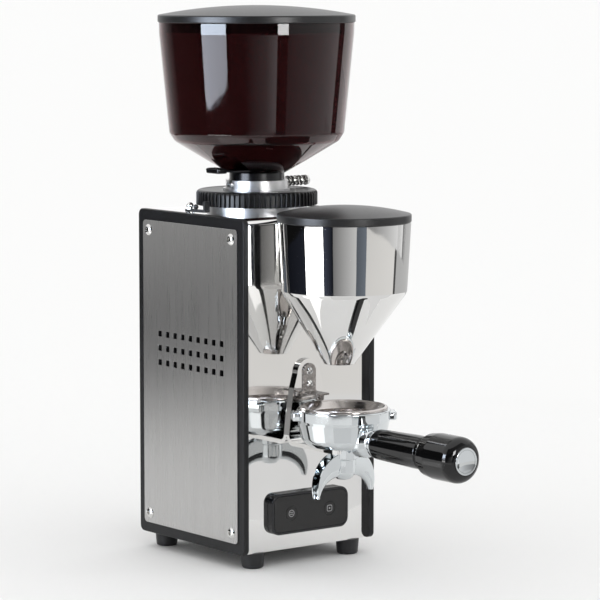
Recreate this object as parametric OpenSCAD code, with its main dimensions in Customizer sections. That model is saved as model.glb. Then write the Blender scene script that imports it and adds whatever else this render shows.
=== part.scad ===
// Direct-drive burr coffee grinder with bean hopper, grounds funnel and docked portafilter.
// Millimetres. Origin: middle of the housing's footprint on the table. Front is -Y, up is +Z.

/* [Housing] */
// Width across the two side covers
housing_w = 133.6; // [131:0.2:137]
// Depth of the side covers
housing_d = 145.8; // [144:0.2:148]
// Height of the side covers' top edge above the table
housing_top = 282.9; // [282.7:0.1:283.1]
// Height of the feet
foot_h = 12.8; // [12:0.2:13]
// Thickness of a side cover
cover_t = 5.2; // [4.6:0.2:6]
// Corner radius of a side cover
cover_r = 5; // [3:0.5:8]
// Thickness of the folded steel sheet
sheet_t = 1.5; // [1.4:0.1:1.6]
// How far the front panel is set back between the side covers
panel_inset = 5.5; // [5:0.1:6]
// Thickness of a brushed side plate
plate_t = 1; // [0.8:0.1:1.2]
// Side of a square vent hole
vent_size = 5; // [4:0.5:6]

/* [Burrs] */
// How far the burr axis lies behind the housing's middle
axis_y = -1.4; // [-2:0.1:-1]
// Outer diameter of the flat burrs
burr_d = 64; // [62:1:64]
// Inner diameter of the flat burrs
burr_bore = 37; // [35:1:38]
// Gap between the burrs at the setting shown
burr_gap = 0.5; // [0.4:0.1:0.8]
// Coarse cutting grooves in each burr
burr_grooves = 18; // [12:1:24]

/* [Adjusting ring] */
// Outer diameter of the adjusting ring
ring_d = 99.6; // [98:0.2:101]
// Height of the adjusting ring
ring_h = 12.4; // [12:0.1:12.6]
// Grip grooves round the adjusting ring
ring_grooves = 70; // [50:1:80]

/* [Hopper] */
// Outer diameter of the hopper at its rim
hopper_d = 161; // [156:1:164]
// Height of the hopper's rim above the table
hopper_rim_z = 436.3; // [434:0.1:440]
// Wall thickness of the hopper
hopper_wall = 2.6; // [2:0.1:3]
// Height of the top of the hopper lid, the highest point of the grinder
overall_h = 450; // [448:0.5:452]

/* [Funnel] */
// Outer diameter of the grounds funnel at its top
funnel_d = 106; // [105:0.2:107]
// Distance of the funnel's axis in front of the housing's middle
funnel_y = 116.4; // [116:0.2:117]
// Outer diameter of the funnel's outlet
funnel_outlet_d = 24; // [22:0.5:25]

/* [Portafilter] */
// Distance of the portafilter's axis in front of the housing's middle
filter_y = 116; // [115.5:0.5:116.5]
// Height of the basket's rim above the table
basket_rim_z = 134; // [133.5:0.1:134]
// Outer diameter of the basket's rim
basket_d = 70; // [69.5:0.5:71]
// Largest diameter of the handle
handle_d = 36; // [34:0.5:38]
// Distance of the handle's end in front of the housing's middle
handle_end_y = 266; // [262:1:270]

/* [Hidden] */
$fn = 64;

// Housing
cover_x = housing_w / 2;
inner_x = cover_x - cover_t;
cover_y = housing_d / 2;
front_y = -cover_y + panel_inset;
rear_y = cover_y - 1;
top_z = housing_top - 0.6;
panel_back_y = front_y + sheet_t;
rear_inner_y = rear_y - sheet_t;
base_t = 3;
bend_r = 6;
hole_gap = 0.2;
fit_gap = 0.3;
screw_y = 57;
screw_low_z = 29.7;
screw_high_z = 266;
plate_low_z = 21.5;
plate_high_z = 274;
plate_half_d = 65;
vent_columns = 9;
vent_rows = 3;
vent_pitch_y = 10.7;
vent_pitch_z = 11.8;
vent_top_z = 181.2;
lug_size = 14;
lug_depth = 12;
foot_x = 48.7;
foot_y = 60;
foot_r = 9.75;

// Control box
box_w = 78;
box_h = 33.5;
box_z = 42.75;
box_d = 6;
box_r = 8;
box_wall = 2.4;
face_t = 2;
key_x = 19.5;
key_r = 5.5;

// Switch and inlet at the back
inlet_x = 28;
switch_x = -28;
rear_fitting_z = 48;
rocker_y = rear_y - 2.5;
rocker_pin_r = 1.2;

// Motor and grinding unit, from the bottom up
motor_r = 52;
motor_wall = 6;
motor_low_z = 88;
bell_z = 226;
chamber_z = 238;
chamber_floor = 4;
chamber_r = 41;
chamber_bore = 36;
flange_top_z = top_z + 5;
flange_r = 52;
bolt_circle = 47;
bearing_r = 17.5;
bearing_bore = 7.5;
bearing_h = 11;
shaft_r = 7;
carrier_low_z = 246;
hub_top_z = 257;
burr_low_z = 251;
burr_t = 7;
burr_high_z = burr_low_z + burr_t + burr_gap;
carrier_high_z = burr_high_z + burr_t;
throat_r = 19;
chute_half_w = 9.5;
chute_low_z = 242;
chute_h = 20;
chute_wall = 2;

// Adjusting ring and collar
ring_z = flange_top_z + 0.3;
ring_r = ring_d / 2;
ring_top_z = ring_z + ring_h;
neck_r = 22.6;
neck_low_z = 292;
neck_high_z = 314;
collar_z = 301.2;
collar_h = 6.6;
collar_r = 25.5;
collar_mid_z = collar_z + collar_h / 2;
pin_z = collar_mid_z + 0.8;
carrier_neck_r = 27.5;
pin_r = 2;
pin_start = neck_r + 0.1;
knob_x = 49.5;
knob_r = 4.3;
knob_t = 3.4;
lever_x = -56.4;
lever_y = 14;
lever_tip_angle = 182.7;
lever_t = 1.8;

// Hopper: radius and height of each change in its outline
hopper_base = [24, 314];
hopper_knee = [40.8, 323.7];
hopper_corner = [62.7, 347.4];
hopper_corner_r = 9;
gate_z = 315.6;
gate_t = 1.6;
gate_r = 18.6;
gate_tab_x = -45.6;
lid_r = hopper_d / 2 + 0.2;
lid_band = 5.9;

// Funnel
funnel_rim_z = 281;
funnel_low_z = 225;
funnel_low_r = funnel_d / 2 - 3.1;
funnel_outlet_z = 167;
funnel_outlet_y = funnel_y - 5.8;
funnel_wall = 1.2;
funnel_screw_x = 13.5;
funnel_screw_z = 272;

// Fork and clip
fork_t = 3.5;
fork_top_z = 101.5;
fork_prong_t = 3.5;
fork_half_w = 20;
fork_slot_r = 12;
fork_front_y = -131;
fork_bend_r = 8;
clip_t = 1.5;
clip_w = 12.6;
clip_y = front_y - fork_t - clip_t;
clip_screw_z = [146.6, 157];

// Portafilter
bowl_low_z = fork_top_z + 0.2;
bowl_r = 37.5;
bowl_low_r = 31;
handle_z = 108.5;
grip_start_y = -161;
grip_r = 12;
handle_r = handle_d / 2;
ear_angle = -32;

// ---------- shared shapes ----------

// Rounded rectangle about the origin
module rounded_rect(w, h, r) {
    square([w - 2 * r, h], center = true);
    square([w, h - 2 * r], center = true);
    for (x = [-1, 1], y = [-1, 1])
        translate([x * (w / 2 - r), y * (h / 2 - r)])
            circle(r);
}

// Extrudes an outline drawn in Y and Z along X, from x0 to x0 + t
module along_x(x0, t) {
    translate([x0, 0, 0])
        rotate([90, 0, 90])
            linear_extrude(t)
                children();
}

// Extrudes an outline drawn in X and Z along Y, from y0 to y0 + t
module along_y(y0, t) {
    translate([0, y0 + t, 0])
        rotate([90, 0, 0])
            linear_extrude(t)
                children();
}

// Places something on the burr axis at a height
module on_axis(z) {
    translate([0, axis_y, z])
        children();
}

// Flat ring standing on the burr axis
module axis_ring(z, h, outer_r, inner_r) {
    on_axis(z)
        difference() {
            cylinder(r = outer_r, h = h);
            translate([0, 0, -1])
                cylinder(r = inner_r, h = h + 2);
        }
}

// Four copies round the burr axis, on the diagonals
module on_diagonals(radius) {
    for (k = [0:3])
        translate([0, axis_y, 0])
            rotate(45 + 90 * k)
                translate([radius, 0, 0])
                    children();
}

// Screw with its head on the plane z = 0 and its shank going down
module screw(head_r, head_h, shank_r, shank_l, key_af) {
    dome_r = (head_r * head_r + head_h * head_h) / (2 * head_h);
    difference() {
        intersection() {
            translate([0, 0, head_h - dome_r])
                sphere(dome_r);
            cylinder(r = head_r, h = head_h);
        }
        translate([0, 0, head_h * 0.45])
            cylinder(d = key_af / cos(30), h = head_h, $fn = 6);
    }
    translate([0, 0, -shank_l])
        cylinder(r = shank_r, h = shank_l);
}

// Hexagonal nut with a hole
module nut(across_flats, h, hole_r) {
    difference() {
        cylinder(d = across_flats / cos(30), h = h, $fn = 6);
        translate([0, 0, -1])
            cylinder(r = hole_r, h = h + 2);
    }
}

// The four corner screw positions of a side cover, in Y and Z
module at_cover_screws() {
    for (y = [-screw_y, screw_y], z = [screw_low_z, screw_high_z])
        translate([y, z])
            children();
}

module vent_holes() {
    first_y = axis_y - (vent_columns - 1) / 2 * vent_pitch_y;
    for (column = [0:vent_columns - 1], row = [0:vent_rows - 1])
        translate([first_y + column * vent_pitch_y, vent_top_z - row * vent_pitch_z])
            square(vent_size, center = true);
}

// ---------- housing ----------

module side_cover(x0) {
    cover_h = housing_top - foot_h;
    color("#151515")
        along_x(x0, cover_t)
            difference() {
                translate([0, foot_h + cover_h / 2])
                    rounded_rect(housing_d, cover_h, cover_r);
                at_cover_screws()
                    circle(2.2);
                vent_holes();
            }
}

module left_side_cover() {
    side_cover(-cover_x);
}

module right_side_cover() {
    side_cover(inner_x);
}

module side_plate(x0) {
    plate_h = plate_high_z - plate_low_z;
    color("#a9a9ab")
        along_x(x0, plate_t)
            difference() {
                translate([0, plate_low_z + plate_h / 2])
                    rounded_rect(2 * plate_half_d, plate_h, 3.5);
                at_cover_screws()
                    circle(2.2);
                vent_holes();
            }
}

module left_side_plate() {
    side_plate(-cover_x - plate_t);
}

module right_side_plate() {
    side_plate(cover_x);
}

// Four button-head screws on each side plate
module plate_screws() {
    color("silver")
        for (side = [-1, 1], y = [-screw_y, screw_y], z = [screw_low_z, screw_high_z])
            translate([side * (cover_x + plate_t), y, z])
                rotate([0, side * 90, 0])
                    screw(4.7, 2.4, 2, 15, 3);
}

// Outline of the folded sheet in Y and Z: front, bend and top
module panel_outline() {
    bend_y = front_y + bend_r;
    bend_z = top_z - bend_r;
    translate([front_y, foot_h])
        square([sheet_t, bend_z - foot_h]);
    translate([bend_y, top_z - sheet_t])
        square([cover_y - 0.5 - bend_y, sheet_t]);
    intersection() {
        translate([bend_y, bend_z])
            difference() {
                circle(bend_r);
                circle(bend_r - sheet_t);
            }
        translate([front_y, bend_z])
            square(bend_r);
    }
}

// Polished sheet: front panel and top plate in one piece, with four studs that carry the grinding unit
module front_top_panel() {
    color("#dcdcdc") {
        difference() {
            along_x(-inner_x, 2 * inner_x)
                panel_outline();
            on_axis(top_z - sheet_t - 1)
                cylinder(r = chamber_r + hole_gap, h = sheet_t + 2);
            translate([-chute_half_w - hole_gap, front_y - 1, chute_low_z - hole_gap])
                cube([2 * (chute_half_w + hole_gap), sheet_t + 2, chute_h + 2 * hole_gap]);
            along_y(front_y - 1, sheet_t + 2) {
                translate([0, box_z])
                    circle(5);
                for (z = clip_screw_z)
                    translate([0, z])
                        circle(1.7);
                for (x = [-funnel_screw_x, funnel_screw_x])
                    translate([x, funnel_screw_z])
                        circle(1.7);
            }
            translate([lever_x, lever_y, top_z - sheet_t - 1])
                cylinder(r = 1.7, h = sheet_t + 2);
        }
        on_diagonals(bolt_circle)
            translate([0, 0, top_z - sheet_t - 12])
                cylinder(r = 2, h = 12);
    }
}

module rear_panel() {
    color("#202020")
        along_y(rear_inner_y, sheet_t)
            difference() {
                translate([-inner_x, foot_h])
                    square([2 * inner_x, top_z - sheet_t - foot_h]);
                translate([inlet_x, rear_fitting_z])
                    square([27.4, 20.4], center = true);
                translate([switch_x, rear_fitting_z])
                    square([27.4, 21.4], center = true);
                for (x = [-1, 1], z = [screw_low_z, screw_high_z])
                    translate([x * (inner_x - 6), z])
                        circle(1.7);
                for (row = [0:4])
                    translate([0, 90 + 8 * row])
                        rounded_rect(60, 3, 1.4);
            }
}

module rear_panel_screws() {
    color("silver")
        for (x = [-1, 1], z = [screw_low_z, screw_high_z])
            translate([x * (inner_x - 6), rear_y, z])
                rotate([-90, 0, 0])
                    screw(3.2, 1.8, 1.5, 8, 2);
}

module base_plate() {
    color("#333333")
        translate([0, 0, foot_h])
            linear_extrude(base_t)
                difference() {
                    translate([-inner_x, panel_back_y])
                        square([2 * inner_x, rear_inner_y - panel_back_y]);
                    for (x = [-foot_x, foot_x], y = [-foot_y, foot_y])
                        translate([x, y])
                            circle(2.6);
                    for (row = [-3:3])
                        translate([0, row * 10])
                            rounded_rect(50, 4, 1.9);
                }
}

// Threaded blocks in the housing's corners, which the side covers and the rear panel screw into
module cover_mounting_lugs() {
    color("#8a8a8a")
        for (side = [-1, 1], end = [-1, 1], z = [screw_low_z, screw_high_z]) {
            y0 = end < 0 ? panel_back_y : rear_inner_y - lug_size - 4;
            x0 = side < 0 ? -inner_x : inner_x - lug_depth;
            difference() {
                translate([x0, y0, z - lug_size / 2])
                    cube([lug_depth, lug_size + 4, lug_size]);
                translate([side * inner_x, end * screw_y, z])
                    rotate([0, -side * 90, 0])
                        translate([0, 0, -1])
                            cylinder(r = 2.1, h = lug_depth);
                if (end > 0)
                    translate([side * (inner_x - 6), rear_inner_y + 1, z])
                        rotate([90, 0, 0])
                            cylinder(r = 1.6, h = 9);
            }
        }
}

module foot() {
    edge_r = 2;
    difference() {
        rotate_extrude()
            difference() {
                union() {
                    polygon([[0, edge_r], [foot_r - 1, edge_r], [foot_r, foot_h], [0, foot_h]]);
                    square([foot_r - 1 - edge_r, edge_r]);
                    translate([foot_r - 1 - edge_r, edge_r])
                        circle(edge_r);
                }
                translate([-10, -10])
                    square([10, 40]);
            }
        translate([0, 0, -1])
            cylinder(r = 5, h = 6);
        translate([0, 0, -1])
            cylinder(r = 2.7, h = foot_h + 2);
    }
}

module feet() {
    color("#181818")
        for (x = [-foot_x, foot_x], y = [-foot_y, foot_y])
            translate([x, y, 0])
                foot();
}

// Screws pointing up through the feet, with a nut on the base plate
module foot_screws() {
    color("silver")
        for (x = [-foot_x, foot_x], y = [-foot_y, foot_y])
            translate([x, y, 0]) {
                translate([0, 0, 5])
                    rotate([180, 0, 0])
                        screw(4.5, 2.6, 2.5, 16, 3);
                translate([0, 0, foot_h + base_t])
                    nut(8, 4, 2.55);
            }
}

// ---------- controls and electrics ----------

module control_box_frame() {
    color("#1c1c1e")
        difference() {
            along_y(front_y - box_d, box_d)
                translate([0, box_z])
                    rounded_rect(box_w, box_h, box_r);
            along_y(front_y - box_d - 1, face_t + 1)
                translate([0, box_z])
                    rounded_rect(box_w - 2 * box_wall, box_h - 2 * box_wall, box_r - box_wall);
            along_y(front_y - box_d, box_d + 1)
                translate([0, box_z])
                    rounded_rect(box_w - 4 * box_wall, box_h - 4 * box_wall, 2);
        }
}

module control_face() {
    color("#2a2a2c")
        along_y(front_y - box_d, face_t)
            difference() {
                translate([0, box_z])
                    rounded_rect(box_w - 2 * box_wall, box_h - 2 * box_wall, box_r - box_wall);
                for (x = [-key_x, key_x])
                    translate([x, box_z])
                        circle(key_r + hole_gap);
            }
}

// Circuit board on four posts behind the face, with the two key switches and a plug to the power board
module control_board() {
    board_y = front_y - 1.5;
    post_l = box_d - face_t - 1.5;
    color("#1d4a2a") {
        along_y(board_y, 1)
            translate([0, box_z])
                square([60, 20], center = true);
        for (x = [-key_x, key_x])
            along_y(board_y - 0.6, 0.6)
                translate([x, box_z])
                    square(6, center = true);
        for (x = [-27, 27], z = [-7, 7])
            along_y(board_y - post_l, post_l)
                translate([x, box_z + z])
                    circle(1.5);
        along_y(board_y + 1, 6)
            translate([0, box_z])
                square([7, 5], center = true);
    }
}

// Round key cap, flush with the face and held behind it by a collar
module touch_key(x) {
    color("#2a2a2c")
        translate([x, front_y - box_d, box_z])
            rotate([-90, 0, 0]) {
                cylinder(r = key_r, h = face_t + 0.2);
                translate([0, 0, face_t + 0.1])
                    cylinder(r = key_r + 1.3, h = 0.7);
                translate([0, 0, face_t + 0.8])
                    cylinder(r = 1.5, h = 0.4);
            }
}

module left_key() {
    touch_key(-key_x);
}

module right_key() {
    touch_key(key_x);
}

// Power and timer board on four standoffs
module power_board() {
    board_z = foot_h + base_t + 8;
    color("#1d4a2a") {
        translate([-48, -44, board_z])
            cube([72, 60, 1.6]);
        for (x = [-44, 20], y = [-40, 12])
            translate([x, y, foot_h + base_t])
                cylinder(r = 3, h = 8);
        translate([-42, -38, board_z + 1.6])
            cube([30, 26, 22]);
        translate([-6, -38, board_z + 1.6])
            cube([13, 28, 16]);
        translate([-40, -4, board_z + 1.6])
            cube([52, 10, 11]);
    }
}

// Motor run capacitor standing in its base clip
module run_capacitor() {
    color("#c9ccd0")
        translate([42.8, -30, foot_h + base_t]) {
            cylinder(r = 16.5, h = 56);
            cylinder(r = 18, h = 10);
            for (x = [-5, 5])
                translate([x - 0.4, -3, 56])
                    cube([0.8, 6, 7]);
        }
}

// Appliance inlet with three blades, set in the rear panel
module power_inlet() {
    color("#161616")
        translate([inlet_x, 0, rear_fitting_z]) {
            difference() {
                union() {
                    along_y(rear_y, 2.4)
                        rounded_rect(31, 25, 3);
                    along_y(rear_y - 20, 20)
                        rounded_rect(27, 20, 2);
                }
                along_y(rear_y - 15, 20)
                    rounded_rect(24, 16.6, 3);
            }
            for (x = [-7, 0, 7])
                translate([x - 1, rear_y - 15.5, x == 0 ? 1 : -3.4])
                    cube([2, 12, 4]);
        }
}

module switch_housing() {
    color("#161616")
        translate([switch_x, 0, rear_fitting_z])
            difference() {
                union() {
                    along_y(rear_y, 2)
                        rounded_rect(30, 24, 2);
                    along_y(rear_y - 18, 18)
                        rounded_rect(27, 21, 2);
                }
                along_y(rear_y - 9, 12)
                    square([21, 17], center = true);
                translate([-12.5, rocker_y, 0])
                    rotate([0, 90, 0])
                        cylinder(r = rocker_pin_r + 0.05, h = 25);
            }
}

// Rocker, drawn in Y and Z about its two pivot pins and tilted to the off position
module switch_rocker() {
    color("#b02020")
        translate([switch_x, rocker_y, rear_fitting_z]) {
            translate([-10, 0, 0])
                rotate([-7, 0, 0])
                    rotate([90, 0, 90])
                        linear_extrude(20)
                            polygon([
                                [-4, -4.5], [2.6, -7.6], [4, -7.4], [2.6, 0],
                                [4, 7.4], [2.6, 7.6], [-4, 4.5],
                            ]);
            translate([-12.3, 0, 0])
                rotate([0, 90, 0])
                    cylinder(r = rocker_pin_r, h = 24.6);
        }
}

// ---------- motor ----------

// Deep-drawn motor can, closed at the bottom round the lower bearing
module motor_housing() {
    color("#9a9da0")
        on_axis(motor_low_z)
            difference() {
                cylinder(r = motor_r, h = bell_z - motor_low_z);
                translate([0, 0, 12])
                    cylinder(r = motor_r - motor_wall, h = bell_z);
                translate([0, 0, 1])
                    cylinder(r = bearing_r, h = 20);
                translate([0, 0, -1])
                    cylinder(r = 10, h = 20);
                for (k = [0:5])
                    rotate(60 * k)
                        translate([31, 0, -1])
                            cylinder(r = 7, h = 20);
            }
}

module top_end_bell() {
    color("#a4a7aa")
        difference() {
            on_axis(bell_z)
                cylinder(r = motor_r, h = chamber_z - bell_z);
            on_axis(bell_z - 1)
                cylinder(r = bearing_r, h = bearing_h + 1);
            on_axis(bell_z)
                cylinder(r = 10.5, h = 20);
            on_diagonals(bolt_circle)
                translate([0, 0, bell_z - 1])
                    cylinder(r = 2.1, h = 20);
        }
}

stator_low_z = 125;
stator_h = 70;

module stator_core() {
    color("#6f7276")
        axis_ring(stator_low_z, stator_h, motor_r - motor_wall - 0.05, 29.3);
}

// End turns of the windings, above and below the stator core
module stator_windings() {
    color("#b8642c")
        for (z = [stator_low_z - 17, stator_low_z + stator_h + 1])
            on_axis(z)
                rotate_extrude()
                    translate([38, 8])
                        rounded_rect(13, 16, 4);
}

module rotor_core() {
    color("#7c7f83") {
        axis_ring(stator_low_z - 2, stator_h + 4, 28.8, 10);
        axis_ring(stator_low_z - 8, 6, 27, 10);
        axis_ring(stator_low_z + stator_h + 2, 6, 27, 10);
    }
}

module motor_shaft() {
    color("silver")
        on_axis(0)
            rotate_extrude()
                polygon([
                    [0, 86], [shaft_r - 0.5, 86], [shaft_r, 87], [shaft_r, 89.2], [bearing_bore, 89.2],
                    [bearing_bore, 101], [9.95, 101], [9.95, 225], [bearing_bore, 225], [bearing_bore, 238],
                    [shaft_r, 238], [shaft_r, hub_top_z], [4, hub_top_z], [4, 263.5], [0, 263.5],
                ]);
}

// One race of a deep-groove bearing
module bearing_race(z, outer_r, inner_r) {
    ball_path = (bearing_r + bearing_bore) / 2;
    on_axis(z)
        rotate_extrude()
            difference() {
                translate([inner_r, 0])
                    square([outer_r - inner_r, bearing_h]);
                translate([ball_path, bearing_h / 2])
                    circle(3.1);
            }
}

lower_bearing_z = motor_low_z + 1;
upper_bearing_z = bell_z;
race_gap = 0.02;

// Outer races and balls of both bearings
module bearing_outer_races() {
    ball_path = (bearing_r + bearing_bore) / 2;
    color("#c0c2c5")
        for (z = [lower_bearing_z, upper_bearing_z]) {
            bearing_race(z, bearing_r - race_gap, bearing_r - 3.2);
            for (k = [0:8])
                on_axis(z + bearing_h / 2)
                    rotate(40 * k)
                        translate([ball_path, 0, 0])
                            sphere(3);
        }
}

module bearing_inner_races() {
    color("#c0c2c5")
        for (z = [lower_bearing_z, upper_bearing_z])
            bearing_race(z, bearing_bore + 3.2, bearing_bore + race_gap);
}

// ---------- grinding unit ----------

// Cast chamber: floor flange on the motor, upper flange under the top plate, and the chute to the funnel
module grind_chamber() {
    hang_z = top_z - sheet_t - 4;
    color("#c4c6c8")
        difference() {
            union() {
                on_axis(chamber_z)
                    cylinder(r = chamber_r, h = flange_top_z - chamber_z);
                on_axis(chamber_z)
                    cylinder(r = flange_r, h = chamber_floor);
                on_axis(hang_z)
                    cylinder(r = flange_r, h = 4);
                translate([-chute_half_w, front_y - 5, chute_low_z])
                    cube([2 * chute_half_w, axis_y - front_y - 25, chute_h]);
            }
            on_axis(chamber_z + chamber_floor)
                cylinder(r = chamber_bore, h = 60);
            on_axis(chamber_z - 1)
                cylinder(r = 12, h = 10);
            translate([-chute_half_w + chute_wall, front_y - 6, chute_low_z + chute_wall])
                cube([2 * (chute_half_w - chute_wall), axis_y - front_y + 6, chute_h - 2 * chute_wall]);
            on_diagonals(bolt_circle)
                translate([0, 0, chamber_z - 1])
                    cylinder(r = 2.3, h = 60);
        }
}

// Bolts from the chamber floor into the motor's end bell, and nuts on the top plate's studs
module chamber_fasteners() {
    color("silver") {
        on_diagonals(bolt_circle)
            translate([0, 0, chamber_z + chamber_floor])
                screw(4, 3, 2, 14, 3);
        on_diagonals(bolt_circle)
            translate([0, 0, top_z - sheet_t - 7.5])
                nut(7, 3.5, 2.05);
    }
}

module shaft_seal() {
    color("#141414")
        axis_ring(chamber_z + 0.2, chamber_floor - 0.4, 11.95, shaft_r + fit_gap);
}

// Rotating carrier with four sweeper vanes that push the grounds to the chute
module lower_burr_carrier() {
    color("#b5b7ba")
        difference() {
            union() {
                on_axis(carrier_low_z)
                    cylinder(r = burr_d / 2 + 1, h = burr_low_z - carrier_low_z);
                on_axis(carrier_low_z - 2.8)
                    cylinder(r = 13, h = hub_top_z - carrier_low_z + 2.8);
                for (k = [0:3])
                    on_axis(carrier_low_z - 2.8)
                        rotate(90 * k)
                            translate([20, -1.5, 0])
                                cube([15, 3, 6.8]);
            }
            on_axis(carrier_low_z - 5)
                cylinder(r = shaft_r + 0.02, h = 20);
            burr_screw_holes(carrier_low_z - 1, 1.8);
        }
}

// Three screw holes through a burr or its carrier
module burr_screw_holes(z, r) {
    for (k = [0:2])
        on_axis(z)
            rotate(120 * k + 20)
                translate([25.5, 0, 0])
                    cylinder(r = r, h = 30);
}

// Flat burr lying face up on the plane z = 0, with sloped coarse grooves and fine ones at the rim
module burr() {
    difference() {
        cylinder(r = burr_d / 2, h = burr_t);
        translate([0, 0, -1])
            cylinder(r = burr_bore / 2, h = burr_t + 2);
        for (k = [0:burr_grooves - 1])
            rotate(k * 360 / burr_grooves)
                translate([burr_bore / 2 - 2, 3, burr_t])
                    rotate([40, 9, 14])
                        cube([13, 2.6, 3]);
        for (k = [0:2 * burr_grooves - 1])
            rotate(k * 180 / burr_grooves)
                translate([burr_d / 2 - 5, 3, burr_t - 0.7])
                    rotate([0, 0, 18])
                        cube([9, 0.9, 2]);
        for (k = [0:2])
            rotate(120 * k + 20)
                translate([25.5, 0, 0]) {
                    translate([0, 0, -1])
                        cylinder(r = 1.9, h = 20);
                    translate([0, 0, burr_t - 3.5])
                        cylinder(r = 3.6, h = 10);
                }
    }
}

module lower_burr() {
    color("#d0d2d4")
        on_axis(burr_low_z)
            burr();
}

module upper_burr() {
    color("#d0d2d4")
        on_axis(burr_high_z + burr_t)
            rotate([180, 0, -40])
                burr();
}

module lower_burr_screws() {
    color("silver")
        for (k = [0:2])
            on_axis(burr_low_z + burr_t - 3.5)
                rotate(120 * k + 20)
                    translate([25.5, 0, 0])
                        screw(3.3, 2.2, 1.7, 8, 2);
}

module upper_burr_screws() {
    color("silver")
        for (k = [0:2])
            on_axis(burr_high_z + 3.5)
                rotate([180, 0, -40])
                    rotate(120 * k + 20)
                        translate([25.5, 0, 0])
                            screw(3.3, 2.2, 1.7, 9, 2);
}

// Domed nut that holds the lower carrier on the shaft
module burr_nut() {
    color("silver")
        difference() {
            union() {
                on_axis(hub_top_z)
                    cylinder(d = 17 / cos(30), h = 5, $fn = 6);
                on_axis(hub_top_z + 5)
                    intersection() {
                        translate([0, 0, -3])
                            sphere(9);
                        cylinder(r = 8, h = 7);
                    }
            }
            on_axis(hub_top_z - 1)
                cylinder(r = 4.05, h = 8);
        }
}

// Threaded carrier of the upper burr: disc in the chamber, neck through the adjusting ring, bean throat
module upper_burr_carrier() {
    color("#b5b7ba")
        difference() {
            union() {
                on_axis(carrier_high_z)
                    cylinder(r = chamber_bore - fit_gap, h = 10);
                on_axis(carrier_high_z)
                    cylinder(r = carrier_neck_r, h = collar_z - carrier_high_z);
            }
            on_axis(carrier_high_z - 1)
                cylinder(r = throat_r, h = 60);
            on_axis(neck_low_z - 0.2)
                cylinder(r = neck_r + fit_gap, h = 60);
            for (k = [0:2])
                on_axis(carrier_high_z - 1)
                    rotate([0, 0, -(120 * k + 20) - 40])
                        translate([25.5, 0, 0])
                            cylinder(r = 1.8, h = 9);
        }
}

// Black grip ring with a rounded shoulder, vertical grooves and an index notch on top
module adjusting_ring() {
    shoulder = 3.5;
    color("#1a1a1c")
        difference() {
            on_axis(ring_z)
                rotate_extrude()
                    difference() {
                        union() {
                            translate([carrier_neck_r + fit_gap, 0])
                                square([ring_r - carrier_neck_r - fit_gap - shoulder, ring_h]);
                            square([ring_r, ring_h - shoulder]);
                            translate([ring_r - shoulder, ring_h - shoulder])
                                circle(shoulder);
                        }
                        translate([-1, -1])
                            square([carrier_neck_r + fit_gap + 1, ring_h + 2]);
                    }
            for (k = [0:ring_grooves - 1])
                on_axis(ring_z - 1)
                    rotate(k * 360 / ring_grooves)
                        translate([ring_r - 1.7, -1.15, 0])
                            cube([3, 2.3, ring_h - 0.2]);
            on_axis(ring_top_z - 0.8)
                rotate(-107)
                    translate([38, -3.5, 0])
                        cube([4, 7, 3]);
        }
}

// Locking lever beside the ring: a flat arm on a pivot, a small knob, and an upright tip facing the grooves
module lock_lever() {
    tip_gap = 0.9;
    color("#2a2a2a") {
        difference() {
            hull() {
                translate([lever_x, lever_y, top_z + 1])
                    cylinder(r = 4, h = lever_t, $fn = 32);
                on_axis(top_z + 1)
                    rotate(lever_tip_angle)
                        translate([ring_r + tip_gap + 3.4, 0, 0])
                            cylinder(r = 2.6, h = lever_t, $fn = 32);
            }
            translate([lever_x, lever_y, top_z])
                cylinder(r = 1.6, h = 5);
        }
        on_axis(top_z + 1)
            rotate(lever_tip_angle)
                translate([ring_r + tip_gap, -1.5, 0])
                    cube([4.5, 3, 9]);
        translate([lever_x + 1.2, lever_y - 6.6, top_z + 1]) {
            cylinder(r = 1.3, h = 3.4);
            translate([0, 0, 4])
                sphere(2.1);
        }
    }
}

// Pivot stud of the lever: washer on the top plate, threaded stud and domed nut
module lever_cap_nut() {
    color("silver")
        translate([lever_x, lever_y, top_z]) {
            cylinder(r = 3.6, h = 0.9);
            translate([0, 0, -4])
                cylinder(r = 1.5, h = 8);
            translate([0, 0, 3])
                cylinder(d = 5.8 / cos(30), h = 1.4, $fn = 6);
            translate([0, 0, 5.6])
                sphere(2.9);
        }
}

// Silver collar on the carrier, which holds the hopper's neck, with a boss on each side
module hopper_clamp_ring() {
    pin_boss_l = 29.5;
    screw_boss_l = 28.5;
    color("#cfd0d2")
        difference() {
            union() {
                on_axis(collar_z)
                    cylinder(r = collar_r, h = collar_h);
                on_axis(pin_z)
                    rotate([0, 90, 0])
                        cylinder(r = 2.6, h = pin_boss_l);
                on_axis(collar_mid_z)
                    rotate([0, -90, 0])
                        cylinder(r = 2.9, h = screw_boss_l);
            }
            on_axis(collar_z - 1)
                cylinder(r = neck_r + fit_gap, h = collar_h + 2);
            on_axis(pin_z)
                rotate([0, 90, 0])
                    cylinder(r = pin_r + 0.05, h = 40);
            on_axis(collar_mid_z)
                rotate([0, -90, 0])
                    translate([0, 0, screw_boss_l - 3])
                        cylinder(d = 3 / cos(30), h = 10, $fn = 6);
        }
}

// Sprung pin that bears on the hopper's neck, with a round knob to pull it out by
module hopper_pin() {
    color("silver")
        on_axis(pin_z)
            rotate([0, 90, 0]) {
                translate([0, 0, pin_start])
                    cylinder(r = pin_r, h = knob_x - pin_start + 1);
                translate([0, 0, knob_x])
                    cylinder(r = knob_r, h = knob_t);
            }
}

// Tension spring between the collar's boss and the knob, which draws the pin inwards
module hopper_pin_spring() {
    turns = 5;
    wire_r = 1.1;
    first_x = 31;
    color("silver")
        on_axis(pin_z)
            rotate([0, 90, 0])
                for (k = [0:turns - 1])
                    translate([0, 0, first_x + k * (knob_x - wire_r - first_x - 0.1) / (turns - 1)])
                        rotate_extrude()
                            translate([knob_r - wire_r, 0])
                                circle(wire_r);
}

// ---------- hopper ----------

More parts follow.
